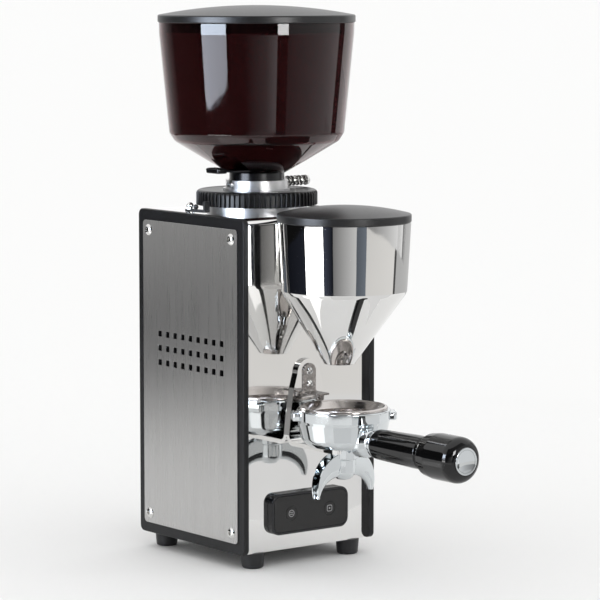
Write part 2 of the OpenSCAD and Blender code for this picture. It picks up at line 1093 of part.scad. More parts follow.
// Dark neck of the hopper with an inner sleeve, slotted for the gate
module hopper_neck() {
    sleeve_top = 322;
    color("#1b1b20")
        difference() {
            union() {
                on_axis(neck_low_z)
                    cylinder(r = neck_r, h = neck_high_z - neck_low_z);
                on_axis(neck_high_z - 1)
                    cylinder(r = 20.2, h = sleeve_top - neck_high_z + 1);
            }
            on_axis(neck_low_z - 1)
                cylinder(r = 18, h = 60);
            gate_slot();
        }
}

// Space that the gate plate slides in
module gate_slot() {
    on_axis(gate_z - 0.3)
        cylinder(r = gate_r + fit_gap, h = gate_t + 0.6);
    translate([-60, axis_y - gate_r - fit_gap, gate_z - 0.3])
        cube([60, 2 * (gate_r + fit_gap), gate_t + 0.6]);
}

// Points of an arc about (cr, cz)
function arc_points(cr, cz, r, from, to, n) =
    [for (k = [0:n]) [cr + r * cos(from + (to - from) * k / n), cz + r * sin(from + (to - from) * k / n)]];

// Outer outline of the hopper, moved inwards by inset, from the base to the rim
function hopper_outline(inset) =
    concat(
        [[hopper_base[0] - inset, hopper_base[1] - 1], [hopper_base[0] - inset, hopper_base[1]]],
        [[hopper_knee[0] - inset * 0.55, hopper_knee[1] + inset * 0.75]],
        arc_points(hopper_corner[0], hopper_corner[1], hopper_corner_r - inset, -58, -6, 7),
        [[hopper_d / 2 - inset, hopper_rim_z], [hopper_d / 2 - inset, hopper_rim_z + 1]]
    );

module hopper() {
    color([0.16, 0.06, 0.04, 0.8])
        difference() {
            on_axis(0)
                rotate_extrude()
                    difference() {
                        polygon(concat(
                            [[0, hopper_base[1] - 1]], hopper_outline(0), [[0, hopper_rim_z + 1]]
                        ));
                        polygon(concat(
                            [[0, hopper_base[1] - 2]], hopper_outline(hopper_wall), [[0, overall_h]]
                        ));
                        translate([0, hopper_base[1] - 5])
                            square([60, 5]);
                        translate([0, hopper_rim_z])
                            square([100, 5]);
                    }
            gate_slot();
        }
}

// Sliding gate that closes the hopper's outlet, with its pull tab
module gate_slide() {
    color("#232325") {
        intersection() {
            union() {
                on_axis(gate_z)
                    cylinder(r = gate_r, h = gate_t);
                translate([-38, axis_y - gate_r, gate_z])
                    cube([38, 2 * gate_r, gate_t]);
            }
            translate([-38, axis_y - gate_r, gate_z - 1])
                cube([60, 2 * gate_r, gate_t + 2]);
        }
        translate([gate_tab_x, axis_y - 9, gate_z - 1.2])
            cube([9.6, 18, 4.2]);
    }
}

// Height of a dome of base radius r and height h, at a distance x from its axis
function dome_z(r, h, x) =
    let (sphere_r = (r * r + h * h) / (2 * h))
    h - sphere_r + sqrt(sphere_r * sphere_r - x * x);

// Half outline of a domed lid: skirt below the plane z = 0, band, dome, and the hollow underneath
module lid_outline(r, band, h, skirt_r, skirt_h, wall) {
    steps = 8;
    hollow_r = skirt_r - wall;
    polygon(concat(
        [[hollow_r, -skirt_h], [skirt_r, -skirt_h], [skirt_r, 0], [r - 0.6, 0], [r, 0.6], [r, band - 0.8]],
        [for (k = [0:steps]) let (x = (r - 0.8) * (1 - k / steps)) [x, band + dome_z(r, h, x)]],
        [for (k = [0:steps]) let (x = hollow_r * k / steps) [x, band + dome_z(r, h, x) - wall]]
    ));
}

// Black lid with a low dome and a skirt inside the hopper's rim
module hopper_lid() {
    dome_h = overall_h - hopper_rim_z - lid_band;
    color("#1e1e20")
        on_axis(hopper_rim_z)
            rotate_extrude()
                lid_outline(lid_r, lid_band, dome_h, hopper_d / 2 - hopper_wall - 1.4, 8, 2);
}

// ---------- grounds funnel ----------

// Everything behind the front panel's face
module behind_panel(y) {
    translate([-100, y, 0])
        cube([200, 200, 400]);
}

// Body of the funnel moved inwards by inset: slightly tapered barrel on a cone that leans to the panel
module funnel_body(inset, over) {
    barrel_h = funnel_rim_z - funnel_low_z + over;
    translate([0, -funnel_y, funnel_low_z])
        cylinder(r1 = funnel_low_r - inset, r2 = funnel_d / 2 - inset, h = barrel_h);
    hull() {
        translate([0, -funnel_y, funnel_low_z])
            cylinder(r = funnel_low_r - inset, h = 0.01, $fn = 96);
        translate([0, -funnel_outlet_y, funnel_outlet_z - over])
            cylinder(r = funnel_outlet_d / 2 - inset, h = 0.01 + over, $fn = 96);
    }
}

// Polished funnel, flat where it meets the panel and open below
module grounds_funnel() {
    color("#e4e4e4")
        difference() {
            funnel_body(0, 0);
            behind_panel(front_y);
            difference() {
                funnel_body(funnel_wall, 1);
                behind_panel(front_y - funnel_wall);
            }
            translate([-chute_half_w - hole_gap, front_y - 3, chute_low_z - hole_gap])
                cube([2 * (chute_half_w + hole_gap), 10, chute_h + 2 * hole_gap]);
            for (x = [-funnel_screw_x, funnel_screw_x])
                translate([x, front_y - 5, funnel_screw_z])
                    rotate([-90, 0, 0])
                        cylinder(r = 1.7, h = 10);
        }
}

// Black lid on the funnel, with a flat back wall like the funnel's
module funnel_lid() {
    band = 6;
    dome_h = 6.5;
    back_wall = 2;
    outer_r = funnel_d / 2 + 0.3;
    skirt_r = funnel_d / 2 - funnel_wall - 0.6;
    color("#1e1e20") {
        difference() {
            translate([0, -funnel_y, funnel_rim_z])
                rotate_extrude()
                    lid_outline(outer_r, band, dome_h, skirt_r, 4, 2);
            behind_panel(front_y - fit_gap);
            translate([-outer_r, front_y - funnel_wall - fit_gap, funnel_rim_z - 10])
                cube([2 * outer_r, 20, 10]);
        }
        intersection() {
            translate([0, -funnel_y, funnel_rim_z])
                cylinder(r = outer_r - 0.6, h = band);
            translate([-outer_r, front_y - fit_gap - back_wall, funnel_rim_z])
                cube([2 * outer_r, back_wall, band]);
        }
    }
}

// ---------- fork and clip ----------

// Fork's back plate, bend and two prongs, in one polished sheet
module portafilter_fork() {
    arch_r = 11.5;
    arch_z = 155.5;
    bend_y = front_y - fork_bend_r;
    bend_z = fork_top_z - fork_prong_t + fork_bend_r;
    color("#dadada")
        difference() {
            union() {
                along_y(front_y - fork_t, fork_t) {
                    translate([0, arch_z])
                        circle(arch_r);
                    polygon([
                        [-arch_r, arch_z], [-14.8, 144], [-17.6, 128.5], [-19.3, 113], [-fork_half_w, bend_z],
                        [fork_half_w, bend_z], [19.3, 113], [17.6, 128.5], [14.8, 144], [arch_r, arch_z],
                    ]);
                }
                intersection() {
                    translate([-fork_half_w, bend_y, bend_z])
                        rotate([0, 90, 0])
                            difference() {
                                cylinder(r = fork_bend_r, h = 2 * fork_half_w);
                                translate([0, 0, -1])
                                    cylinder(r = fork_bend_r - fork_t, h = 2 * fork_half_w + 2);
                            }
                    translate([-50, bend_y, bend_z - 20])
                        cube([100, 20, 20]);
                }
                translate([-fork_half_w, fork_front_y + 4, fork_top_z - fork_prong_t])
                    cube([2 * fork_half_w, bend_y - fork_front_y - 4, fork_prong_t]);
                for (x = [-1, 1])
                    translate([x * (fork_half_w - 4), fork_front_y + 4, fork_top_z - fork_prong_t])
                        cylinder(r = 4, h = fork_prong_t);
            }
            translate([0, -filter_y + 6, 90])
                cylinder(r = fork_slot_r, h = 20);
            translate([-fork_slot_r, -200, 90])
                cube([2 * fork_slot_r, 206 - filter_y, 20]);
            for (z = clip_screw_z)
                translate([0, front_y + 1, z])
                    rotate([90, 0, 0])
                        cylinder(r = 1.7, h = 10);
        }
}

// Steel clip on the fork: upright strip, forward tab with a flared end, and a round pad over the rim
module rim_clip() {
    tab_z = 139;
    tab_front_y = -90;
    color("#9b9793") {
        difference() {
            along_y(clip_y, clip_t) {
                translate([-clip_w / 2, tab_z])
                    square([clip_w, 18]);
                translate([0, 157])
                    circle(clip_w / 2);
            }
            for (z = clip_screw_z)
                translate([0, front_y, z])
                    rotate([90, 0, 0])
                        cylinder(r = 1.7, h = 10);
        }
        translate([-clip_w / 2, tab_front_y, tab_z])
            cube([clip_w, clip_y + clip_t - tab_front_y, clip_t]);
        translate([-9, tab_front_y, tab_z])
            cube([18, 8, clip_t]);
        translate([0, -85, basket_rim_z + 0.5])
            cylinder(r = 3.8, h = tab_z - basket_rim_z - 0.4);
    }
}

// Screws of the clip and fork, and the two screws inside the funnel
module front_panel_screws() {
    color("silver") {
        for (z = clip_screw_z)
            translate([0, clip_y, z])
                rotate([90, 0, 0])
                    screw(3.2, 1.8, 1.5, 8, 2);
        for (x = [-funnel_screw_x, funnel_screw_x])
            translate([x, front_y - funnel_wall, funnel_screw_z])
                rotate([90, 0, 0])
                    screw(3.2, 1.8, 1.5, 5, 2);
    }
}

// ---------- portafilter ----------

module on_filter_axis(z) {
    translate([0, -filter_y, z])
        children();
}

// Chrome bowl with two ears, and the neck that carries the handle
module portafilter_body() {
    top_z = basket_rim_z - 2.6;
    color("#e6e6e6")
        difference() {
            union() {
                on_filter_axis(0)
                    rotate_extrude()
                        polygon(concat(
                            [[0, bowl_low_z], [bowl_low_r - 6, bowl_low_z]],
                            arc_points(bowl_low_r - 6, bowl_low_z + 7, 7, -80, -15, 6),
                            [[bowl_r - 0.6, top_z - 9], [bowl_r, top_z - 7], [bowl_r, top_z], [0, top_z]]
                        ));
                for (side = [0, 180])
                    on_filter_axis(top_z - 8.5)
                        rotate(ear_angle + side)
                            translate([30, -9, 0])
                                cube([12, 18, 6.5]);
                translate([0, grip_start_y, handle_z])
                    rotate([-90, 0, 0])
                        cylinder(r = 8.5, h = 20);
                translate([0, grip_start_y, handle_z])
                    rotate([-90, 0, 0])
                        cylinder(r = 11, h = 3);
            }
            on_filter_axis(bowl_low_z + 3)
                cylinder(r1 = 29, r2 = 36, h = 60);
            on_filter_axis(top_z - 4)
                cylinder(r = 32.4, h = 10);
            on_filter_axis(bowl_low_z - 5)
                cylinder(r = 8.1, h = 20);
            translate([0, grip_start_y - 1, handle_z])
                rotate([-90, 0, 0])
                    cylinder(r = 4.1, h = 12);
        }
}

// Steel basket: rolled rim, tapered wall and floor
module filter_basket() {
    rim_wire = 1.3;
    rim_r = basket_d / 2 - rim_wire;
    seat_z = basket_rim_z - 2 * rim_wire;
    floor_z = 109;
    color("#bdb7b0")
        on_filter_axis(0)
            rotate_extrude() {
                translate([rim_r, basket_rim_z - rim_wire])
                    circle(rim_wire);
                polygon([
                    [30.3, seat_z], [rim_r, seat_z], [rim_r, basket_rim_z - 0.4], [31, basket_rim_z - 1],
                    [29.3, seat_z], [27, floor_z], [0, floor_z], [0, floor_z - 0.8],
                    [27.8, floor_z - 0.8], [30.1, seat_z - 2.4],
                ]);
            }
}

// One leg of the double spout, towards +X: a crescent that narrows to its tip
module spout_leg() {
    tip_z = 62;
    intersection() {
        along_y(-11, 22)
            difference() {
                translate([2, 66])
                    circle(31);
                translate([6, 56])
                    circle(21);
                translate([-60, 0])
                    square([60, 200]);
                translate([-10, 0])
                    square([100, tip_z]);
            }
        along_x(-1, 60)
            polygon([[-5, tip_z - 1], [5, tip_z - 1], [10, 86], [10, 100], [-10, 100], [-10, 86]]);
    }
}

// Double spout: boss under the bowl, threaded neck, and two legs with a gutter along the outside
module double_spout() {
    boss_r = 11.3;
    low_boss_r = 8.4;
    color("#e0e0e0")
        difference() {
            on_filter_axis(0) {
                translate([0, 0, 88])
                    cylinder(r = boss_r, h = bowl_low_z - 88);
                translate([0, 0, 79])
                    cylinder(r = low_boss_r, h = 10);
                translate([0, 0, 79])
                    sphere(low_boss_r);
                translate([0, 0, bowl_low_z - 1])
                    cylinder(r = 8, h = 4);
                for (side = [0, 180])
                    rotate(side)
                        spout_leg();
            }
            for (side = [0, 180])
                on_filter_axis(66)
                    rotate(side)
                        translate([2, 0, 0])
                            rotate([90, -10, 0])
                                rotate_extrude(angle = 82)
                                    translate([34, 0])
                                        circle(7);
            on_filter_axis(90)
                cylinder(r = 4.5, h = 30);
            on_filter_axis(92)
                rotate([0, 90, 0])
                    cylinder(r = 3, h = 60, center = true);
        }
}

// Black grip: slender part, step and rounded knob
module handle_grip() {
    knob_y = handle_end_y - 1;
    color("#101010")
        translate([0, 0, handle_z])
            rotate([90, 0, 0])
                difference() {
                    rotate_extrude()
                        polygon(concat(
                            [[0, -grip_start_y], [grip_r - 1, -grip_start_y]],
                            [[grip_r, 162.5], [grip_r + 0.8, 206]],
                            [[grip_r - 0.6, 209], [grip_r - 0.6, 212]],
                            arc_points(handle_r - 5, 219, 5, -80, 0, 5),
                            arc_points(handle_r - 9, knob_y - 9.5, 9, 5, 80, 6),
                            [[handle_r - 9, knob_y], [0, knob_y]]
                        ));
                    translate([0, 0, knob_y - 3])
                        cylinder(r = 10.9, h = 10);
                    translate([0, 0, -grip_start_y - 1])
                        cylinder(r = 4.1, h = 40);
                }
}

// Chrome disc in the end of the knob, and the stud that holds the handle to the bowl
module handle_end_cap() {
    knob_y = handle_end_y - 1;
    stud_start = 150.1;
    color("#e6e6e6")
        translate([0, 0, handle_z])
            rotate([90, 0, 0]) {
                translate([0, 0, knob_y - 3])
                    cylinder(r = 10.7, h = 3.4);
                translate([0, 0, stud_start])
                    cylinder(r = 4, h = 43);
            }
}

left_side_cover();
right_side_cover();
left_side_plate();
right_side_plate();
plate_screws();
front_top_panel();
rear_panel();
rear_panel_screws();
base_plate();
cover_mounting_lugs();
feet();
foot_screws();
control_box_frame();
control_face();
control_board();
left_key();
right_key();
power_board();
run_capacitor();
power_inlet();
switch_housing();
switch_rocker();
motor_housing();
top_end_bell();
stator_core();
stator_windings();
rotor_core();
motor_shaft();
bearing_outer_races();
bearing_inner_races();
grind_chamber();
chamber_fasteners();
shaft_seal();
lower_burr_carrier();
lower_burr();
lower_burr_screws();
burr_nut();
upper_burr();
upper_burr_carrier();
upper_burr_screws();
adjusting_ring();
lock_lever();
lever_cap_nut();
hopper_clamp_ring();
hopper_pin();
hopper_pin_spring();
hopper_neck();
hopper();
gate_slide();
hopper_lid();
grounds_funnel();
funnel_lid();
portafilter_fork();
rim_clip();
front_panel_screws();
portafilter_body();
filter_basket();
double_spout();
handle_grip();
handle_end_cap();
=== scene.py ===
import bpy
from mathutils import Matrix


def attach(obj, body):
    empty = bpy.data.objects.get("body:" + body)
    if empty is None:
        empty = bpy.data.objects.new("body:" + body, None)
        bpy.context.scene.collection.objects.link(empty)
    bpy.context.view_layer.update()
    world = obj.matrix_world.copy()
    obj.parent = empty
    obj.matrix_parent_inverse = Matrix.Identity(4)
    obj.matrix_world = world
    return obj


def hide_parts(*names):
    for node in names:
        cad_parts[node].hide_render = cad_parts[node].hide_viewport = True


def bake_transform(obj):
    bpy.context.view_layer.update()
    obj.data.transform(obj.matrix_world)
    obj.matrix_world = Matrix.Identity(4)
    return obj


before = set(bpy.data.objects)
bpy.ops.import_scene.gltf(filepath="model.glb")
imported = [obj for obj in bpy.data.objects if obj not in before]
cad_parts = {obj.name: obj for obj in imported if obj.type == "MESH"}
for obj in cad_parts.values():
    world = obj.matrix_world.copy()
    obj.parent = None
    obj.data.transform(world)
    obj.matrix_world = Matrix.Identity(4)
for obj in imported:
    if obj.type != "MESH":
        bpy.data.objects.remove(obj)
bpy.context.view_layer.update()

import math

import bmesh
import bpy
from mathutils import Matrix, Vector

# Looks of the burr coffee grinder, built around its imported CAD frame.
# Shapes are worked out in millimetres in the row frame (-Y front, +Z up) and written in metres.
MM = 0.001
SCENE = bpy.context.scene

# ---------- camera ----------

CAMERA_AZIMUTH = -37.69
CAMERA_ELEVATION = 6.39
CAMERA_DISTANCE = 2.42981
CAMERA_TARGET = Vector((0.04579, 0.0, 0.20496))

azimuth, elevation = math.radians(CAMERA_AZIMUTH), math.radians(CAMERA_ELEVATION)
back = Vector((
    math.sin(azimuth) * math.cos(elevation),
    -math.cos(azimuth) * math.cos(elevation),
    math.sin(elevation),
))
camera = bpy.data.objects.new("camera", bpy.data.cameras.new("camera"))
camera.data.lens = 174.84
camera.data.sensor_width = 36
camera.data.clip_end = 500
camera.location = CAMERA_TARGET + back * CAMERA_DISTANCE
camera.rotation_euler = (-back).to_track_quat("-Z", "Y").to_euler()
SCENE.collection.objects.link(camera)
SCENE.camera = camera
SCENE.view_settings.view_transform = "Standard"

# ---------- sizes shared by several pieces, in millimetres ----------

COVER_X, INNER_X, COVER_Y = 66.8, 61.6, 72.9
FRONT_Y = -67.4
FOOT_H, HOUSING_TOP = 12.8, 282.9
BURR_Y = -1.4
RING_R, RING_Z = 49.8, 287.6
PIN_Z = 305.3
HOPPER_R, HOPPER_RIM_Z = 79.9, 436.3
FUNNEL_R, FUNNEL_Y, FUNNEL_RIM_Z, FUNNEL_LOW_Z = 53.0, -116.4, 281.0, 225.0
FILTER_Y, BOWL_LOW_Z = -116.0, 101.7
HANDLE_Z = 108.5
BOX_Z, BOX_FRONT_Y, KEY_X = 42.75, -73.4, 19.5


# ---------- materials ----------

FINISH = {}


def tree(name):
    """A new node material: its nodes, its links and its shader."""
    made = bpy.data.materials.new(name)
    made.use_nodes = True
    nodes, links = made.node_tree.nodes, made.node_tree.links
    return made, nodes, links, nodes["Principled BSDF"]


def noise(nodes, links, size, stretch, detail=3.0):
    """Noise in object space with grains of the given size in millimetres, stretched along an axis."""
    place = nodes.new("ShaderNodeTexCoord")
    scale = nodes.new("ShaderNodeMapping")
    scale.inputs["Scale"].default_value = stretch
    made = nodes.new("ShaderNodeTexNoise")
    made.inputs["Scale"].default_value = 1 / (size * MM)
    made.inputs["Detail"].default_value = detail
    links.new(place.outputs["Object"], scale.inputs["Vector"])
    links.new(scale.outputs["Vector"], made.inputs["Vector"])
    return made.outputs["Fac"]


def look(slot, color, rough, metallic=0.0, spread=0.05, size=2.0, stretch=(1, 1, 1),
         bump=0.2, depth=0.05, shade=0.08, patch=25.0, waves=0.0, wave_size=40.0, **sockets):
    """Procedural finish: fine grain in roughness and bump, broad patches in colour, and slow waves.
    Sizes and depths are in millimetres, waves is the height of the slow waves."""
    made, nodes, links, shader = tree("look_" + slot)
    grain = noise(nodes, links, size, stretch)
    spreader = nodes.new("ShaderNodeMapRange")
    spreader.inputs["From Min"].default_value = 0.3
    spreader.inputs["From Max"].default_value = 0.7
    spreader.inputs["To Min"].default_value = max(rough - spread, 0.0)
    spreader.inputs["To Max"].default_value = rough + spread
    links.new(grain, spreader.inputs["Value"])
    links.new(spreader.outputs["Result"], shader.inputs["Roughness"])
    ramp = nodes.new("ShaderNodeValToRGB")
    ramp.color_ramp.elements[0].position = 0.3
    ramp.color_ramp.elements[1].position = 0.7
    ramp.color_ramp.elements[0].color = [c * (1 - shade) for c in color] + [1]
    ramp.color_ramp.elements[1].color = [min(c * (1 + shade), 1.0) for c in color] + [1]
    links.new(noise(nodes, links, patch, stretch, 2.0), ramp.inputs["Fac"])
    links.new(ramp.outputs["Color"], shader.inputs["Base Color"])
    bumper = nodes.new("ShaderNodeBump")
    bumper.inputs["Strength"].default_value = bump
    bumper.inputs["Distance"].default_value = depth * MM
    links.new(grain, bumper.inputs["Height"])
    links.new(bumper.outputs["Normal"], shader.inputs["Normal"])
    if waves:
        waver = nodes.new("ShaderNodeBump")
        waver.inputs["Strength"].default_value = 1.0
        waver.inputs["Distance"].default_value = waves * MM
        links.new(noise(nodes, links, wave_size, (1, 1, 1), 1.0), waver.inputs["Height"])
        links.new(waver.outputs["Normal"], bumper.inputs["Normal"])
    shader.inputs["Metallic"].default_value = metallic
    for socket, value in sockets.items():
        shader.inputs[socket.replace("_", " ")].default_value = value
    FINISH[slot] = made
    return made


GRAIN_UP = (1, 1, 0.012)

look("black_cover", (0.006, 0.006, 0.0068), 0.42, size=0.9, bump=0.35, depth=0.03, Specular_IOR_Level=0.35)
look("brushed_plate", (0.56, 0.555, 0.55), 0.29, 1.0, 0.03, 0.7, GRAIN_UP, 0.3, 0.006, 0.02, 9.0)
look("polished_sheet", (0.80, 0.795, 0.785), 0.05, 1.0, 0.015, 3.0, bump=0.1, depth=0.002, shade=0.02,
     patch=60, waves=0.05, wave_size=60)
look("dark_sheet", (0.035, 0.035, 0.038), 0.5, size=0.8, bump=0.5, depth=0.04)
look("steel_screw", (0.74, 0.735, 0.72), 0.14, 1.0, 0.05, 1.0, bump=0.1, depth=0.01, patch=5)
look("zinc_casting", (0.42, 0.42, 0.43), 0.48, 1.0, 0.08, 1.5, bump=0.5, depth=0.05)
look("foot_rubber", (0.010, 0.010, 0.012), 0.42, size=1.0, bump=0.3, depth=0.03)
look("control_plastic", (0.016, 0.0155, 0.0155), 0.5, size=0.5, bump=0.3, depth=0.01, Specular_IOR_Level=0.45)
look("control_frame", (0.005, 0.0055, 0.008), 0.16, size=1.0, bump=0.08, depth=0.01)
look("circuit_board", (0.02, 0.11, 0.045), 0.35, size=1.2, bump=0.5, depth=0.05, shade=0.35, patch=2.5)
look("capacitor_can", (0.7, 0.71, 0.73), 0.26, 1.0, 0.06, 0.8, GRAIN_UP, 0.3, 0.01)
look("inlet_plastic", (0.014, 0.014, 0.015), 0.36, size=0.7, bump=0.3, depth=0.02)
look("rocker_plastic", (0.36, 0.018, 0.015), 0.2, size=1.0, bump=0.1, depth=0.01, Coat_Weight=0.5)
look("motor_case", (0.48, 0.485, 0.495), 0.4, 1.0, 0.08, 1.6, bump=0.5, depth=0.05)
look("lamination_steel", (0.28, 0.285, 0.29), 0.42, 1.0, 0.08, 0.6, (0.02, 0.02, 1), 0.9, 0.08, 0.15, 4)
look("copper_winding", (0.62, 0.24, 0.09), 0.3, 1.0, 0.08, 0.7, (1, 1, 0.15), 0.9, 0.12, 0.2, 4)
look("bright_steel", (0.66, 0.66, 0.67), 0.12, 1.0, 0.04, 0.8, bump=0.1, depth=0.005)
look("chamber_casting", (0.70, 0.70, 0.71), 0.34, 1.0, 0.06, 0.7, (0.15, 0.15, 1), 0.3, 0.01, 0.05, 10)
look("seal_rubber", (0.014, 0.014, 0.015), 0.5, size=1.0, bump=0.3, depth=0.02)
look("burr_steel", (0.6, 0.6, 0.61), 0.2, 1.0, 0.06, 0.8, bump=0.3, depth=0.01)
look("ring_plastic", (0.006, 0.006, 0.007), 0.34, size=0.7, bump=0.35, depth=0.02, Specular_IOR_Level=0.5)
look("collar_metal", (0.76, 0.76, 0.765), 0.34, 1.0, 0.05, 0.5, (0.1, 0.1, 1), 0.4, 0.012, 0.04, 8)
look("neck_plastic", (0.005, 0.0052, 0.007), 0.22, size=1.2, bump=0.06, depth=0.01)
look("lid_plastic", (0.012, 0.012, 0.0128), 0.34, size=0.7, bump=0.3, depth=0.015, Specular_IOR_Level=0.5)
look("polished_steel", (0.80, 0.795, 0.785), 0.035, 1.0, 0.012, 3.0, bump=0.1, depth=0.002, shade=0.02,
     patch=50, waves=0.10, wave_size=30)
look("clip_steel", (0.33, 0.31, 0.295), 0.30, 1.0, 0.12, 1.6, bump=0.9, depth=0.10, shade=0.25, patch=3)
look("chromed_brass", (0.68, 0.71, 0.725), 0.04, 1.0, 0.012, 3.0, bump=0.1, depth=0.002, shade=0.02,
     patch=30, waves=0.06, wave_size=18)
look("basket_steel", (0.62, 0.585, 0.565), 0.18, 1.0, 0.05, 0.6, (0.1, 0.1, 1), 0.3, 0.01, 0.05, 8)
look("handle_plastic", (0.004, 0.004, 0.0043), 0.07, size=1.5, bump=0.05, depth=0.01, waves=0.03,
     wave_size=25)

look("smoked_plastic", (0.115, 0.046, 0.048), 0.03, spread=0.012, size=3.0, bump=0.05, depth=0.005,
     shade=0.04, patch=60, waves=0.03, wave_size=50, Transmission_Weight=1.0, IOR=1.49)

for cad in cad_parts.values():
    finish = FINISH[cad.data.materials[0].name.split(".")[0]]
    cad.data.materials.clear()
    cad.data.materials.append(finish)


# ---------- outlines and meshes ----------

def arc(cx, cy, r, start, stop, steps):
    """Points of an arc, angles in degrees."""
    turns = [math.radians(start + (stop - start) * k / steps) for k in range(steps + 1)]
    return [(cx + r * math.cos(t), cy + r * math.sin(t)) for t in turns]


def rounded(points, steps=5):
    """A closed outline from (x, y, radius) corners, each corner with a radius cut to an arc."""
    made = []
    for k, (x, y, r) in enumerate(points):
        corner = Vector((x, y))
        before = Vector(points[k - 1][:2]) - corner
        after = Vector(points[(k + 1) % len(points)][:2]) - corner
        half = before.angle(after) / 2 if r else 0
        reach = r / math.tan(half) if r and half > 1e-4 else 0
        if reach < 1e-4:
            made.append((x, y))
            continue
        centre = corner + (before.normalized() + after.normalized()).normalized() * (r / math.sin(half))
        start = corner + before.normalized() * reach - centre
        stop = corner + after.normalized() * reach - centre
        turn = math.atan2(start.x * stop.y - start.y * stop.x, start.dot(stop))
        first = math.atan2(start.y, start.x)
        made += [(centre.x + r * math.cos(first + turn * s / steps),
                  centre.y + r * math.sin(first + turn * s / steps)) for s in range(steps + 1)]
    return made


def rounded_rect(w, h, r, cx=0.0, cy=0.0, steps=6):
    return rounded([(cx - w / 2, cy - h / 2, r), (cx + w / 2, cy - h / 2, r),
                    (cx + w / 2, cy + h / 2, r), (cx - w / 2, cy + h / 2, r)], steps)


def circle(r, cx=0.0, cy=0.0, steps=48):
    return arc(cx, cy, r, 0, 360 * (steps - 1) / steps, steps - 1)


def loft(rings, wrap=True):
    """Vertices and faces through rings of equally many points; wrap joins the last ring to the first,
    and open ends are closed with a face each."""
    verts = [p for ring in rings for p in ring]
    n = len(rings[0])
    pairs = list(zip(range(len(rings)), list(range(1, len(rings))) + ([0] if wrap else [])))
    faces = [(a * n + k, a * n + (k + 1) % n, b * n + (k + 1) % n, b * n + k)
             for a, b in pairs for k in range(n)]
    if not wrap:
        faces += [tuple(range(n)), tuple((len(rings) - 1) * n + k for k in range(n))]
    return verts, faces


def lathe(outline, segments=128):
    """Turned shape round Z from a closed outline of (radius, z)."""
    turns = [math.tau * k / segments for k in range(segments)]
    return loft([[(r * math.cos(t), r * math.sin(t), z) for t in turns] for r, z in outline])


def plate(outlines, t, edge):
    """Flat plate from z 0 to z t with rounded edges, from closed outlines in X and Y.
    The outlines after the first are holes."""
    curve = bpy.data.curves.new("plate", "CURVE")
    curve.dimensions = "2D"
    curve.fill_mode = "BOTH"
    curve.extrude = t / 2 - edge
    curve.bevel_depth = edge
    curve.bevel_resolution = 2
    curve.offset = -edge
    for outline in outlines:
        spline = curve.splines.new("POLY")
        spline.points.add(len(outline) - 1)
        for point, (x, y) in zip(spline.points, outline):
            point.co = (x, y, 0, 1)
        spline.use_cyclic_u = True
    holder = bpy.data.objects.new("plate", curve)
    SCENE.collection.objects.link(holder)
    bpy.context.view_layer.update()
    mesh = bpy.data.meshes.new_from_object(holder.evaluated_get(bpy.context.evaluated_depsgraph_get()))
    shape = ([(v.co.x, v.co.y, v.co.z + t / 2) for v in mesh.vertices],
             [tuple(f.vertices) for f in mesh.polygons])
    bpy.data.objects.remove(holder)
    bpy.data.curves.remove(curve)
    bpy.data.meshes.remove(mesh)
    return shape


def sweep(path, outline):
    """Tube with closed ends along a path of Vectors, from an outline across the path."""
    rings = []
    side = None
    for k, point in enumerate(path):
        ahead = (path[min(k + 1, len(path) - 1)] - path[max(k - 1, 0)]).normalized()
        if side is None:
            side = ahead.orthogonal().normalized()
        side = (side - ahead * side.dot(ahead)).normalized()
        over = ahead.cross(side)
        rings.append([tuple(point + side * x + over * y) for x, y in outline])
    return loft(rings, False)


def frame_at(origin, axis="Z", spin=0.0):
    """Matrix that puts a shape made round Z at a point, with its Z along another axis."""
    turns = {
        "Z": Matrix.Identity(4),
        "-Z": Matrix.Rotation(math.pi, 4, "X"),
        "X": Matrix.Rotation(math.pi / 2, 4, "Y"),
        "-X": Matrix.Rotation(-math.pi / 2, 4, "Y"),
        "Y": Matrix.Rotation(-math.pi / 2, 4, "X"),
        "-Y": Matrix.Rotation(math.pi / 2, 4, "X"),
    }
    return Matrix.Translation(origin) @ turns[axis] @ Matrix.Rotation(math.radians(spin), 4, "Z")


def moved(shape, matrix):
    verts, faces = shape
    return [tuple(matrix @ Vector(p)) for p in verts], faces


def piece(name, shapes, body, slot, stands_for=(), sharp=32.0, weighted=True, blend=None):
    """A new visible piece from shapes in millimetres. Edges sharper than the angle stay sharp."""
    made = bmesh.new()
    for verts, faces in shapes:
        corners = [made.verts.new(Vector(p) * MM) for p in verts]
        for face in faces:
            try:
                made.faces.new([corners[k] for k in face])
            except ValueError:
                pass
    bmesh.ops.remove_doubles(made, verts=made.verts, dist=1e-7)
    bmesh.ops.dissolve_degenerate(made, edges=made.edges, dist=1e-7)
    bmesh.ops.recalc_face_normals(made, faces=made.faces)
    for face in made.faces:
        face.smooth = True
    for edge in made.edges:
        edge.smooth = len(edge.link_faces) == 2 and edge.calc_face_angle(0) < math.radians(sharp)
    mesh = bpy.data.meshes.new(name)
    made.to_mesh(mesh)
    made.free()
    mesh.materials.append(FINISH[slot])
    obj = bpy.data.objects.new(name, mesh)
    SCENE.collection.objects.link(obj)
    if weighted:
        weights = obj.modifiers.new("weighted", "WEIGHTED_NORMAL")
        weights.keep_sharp = True
        weights.weight = 100
    if blend:
        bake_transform(obj)
    else:
        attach(obj, body)
    if stands_for:
        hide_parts(*stands_for)
    return obj


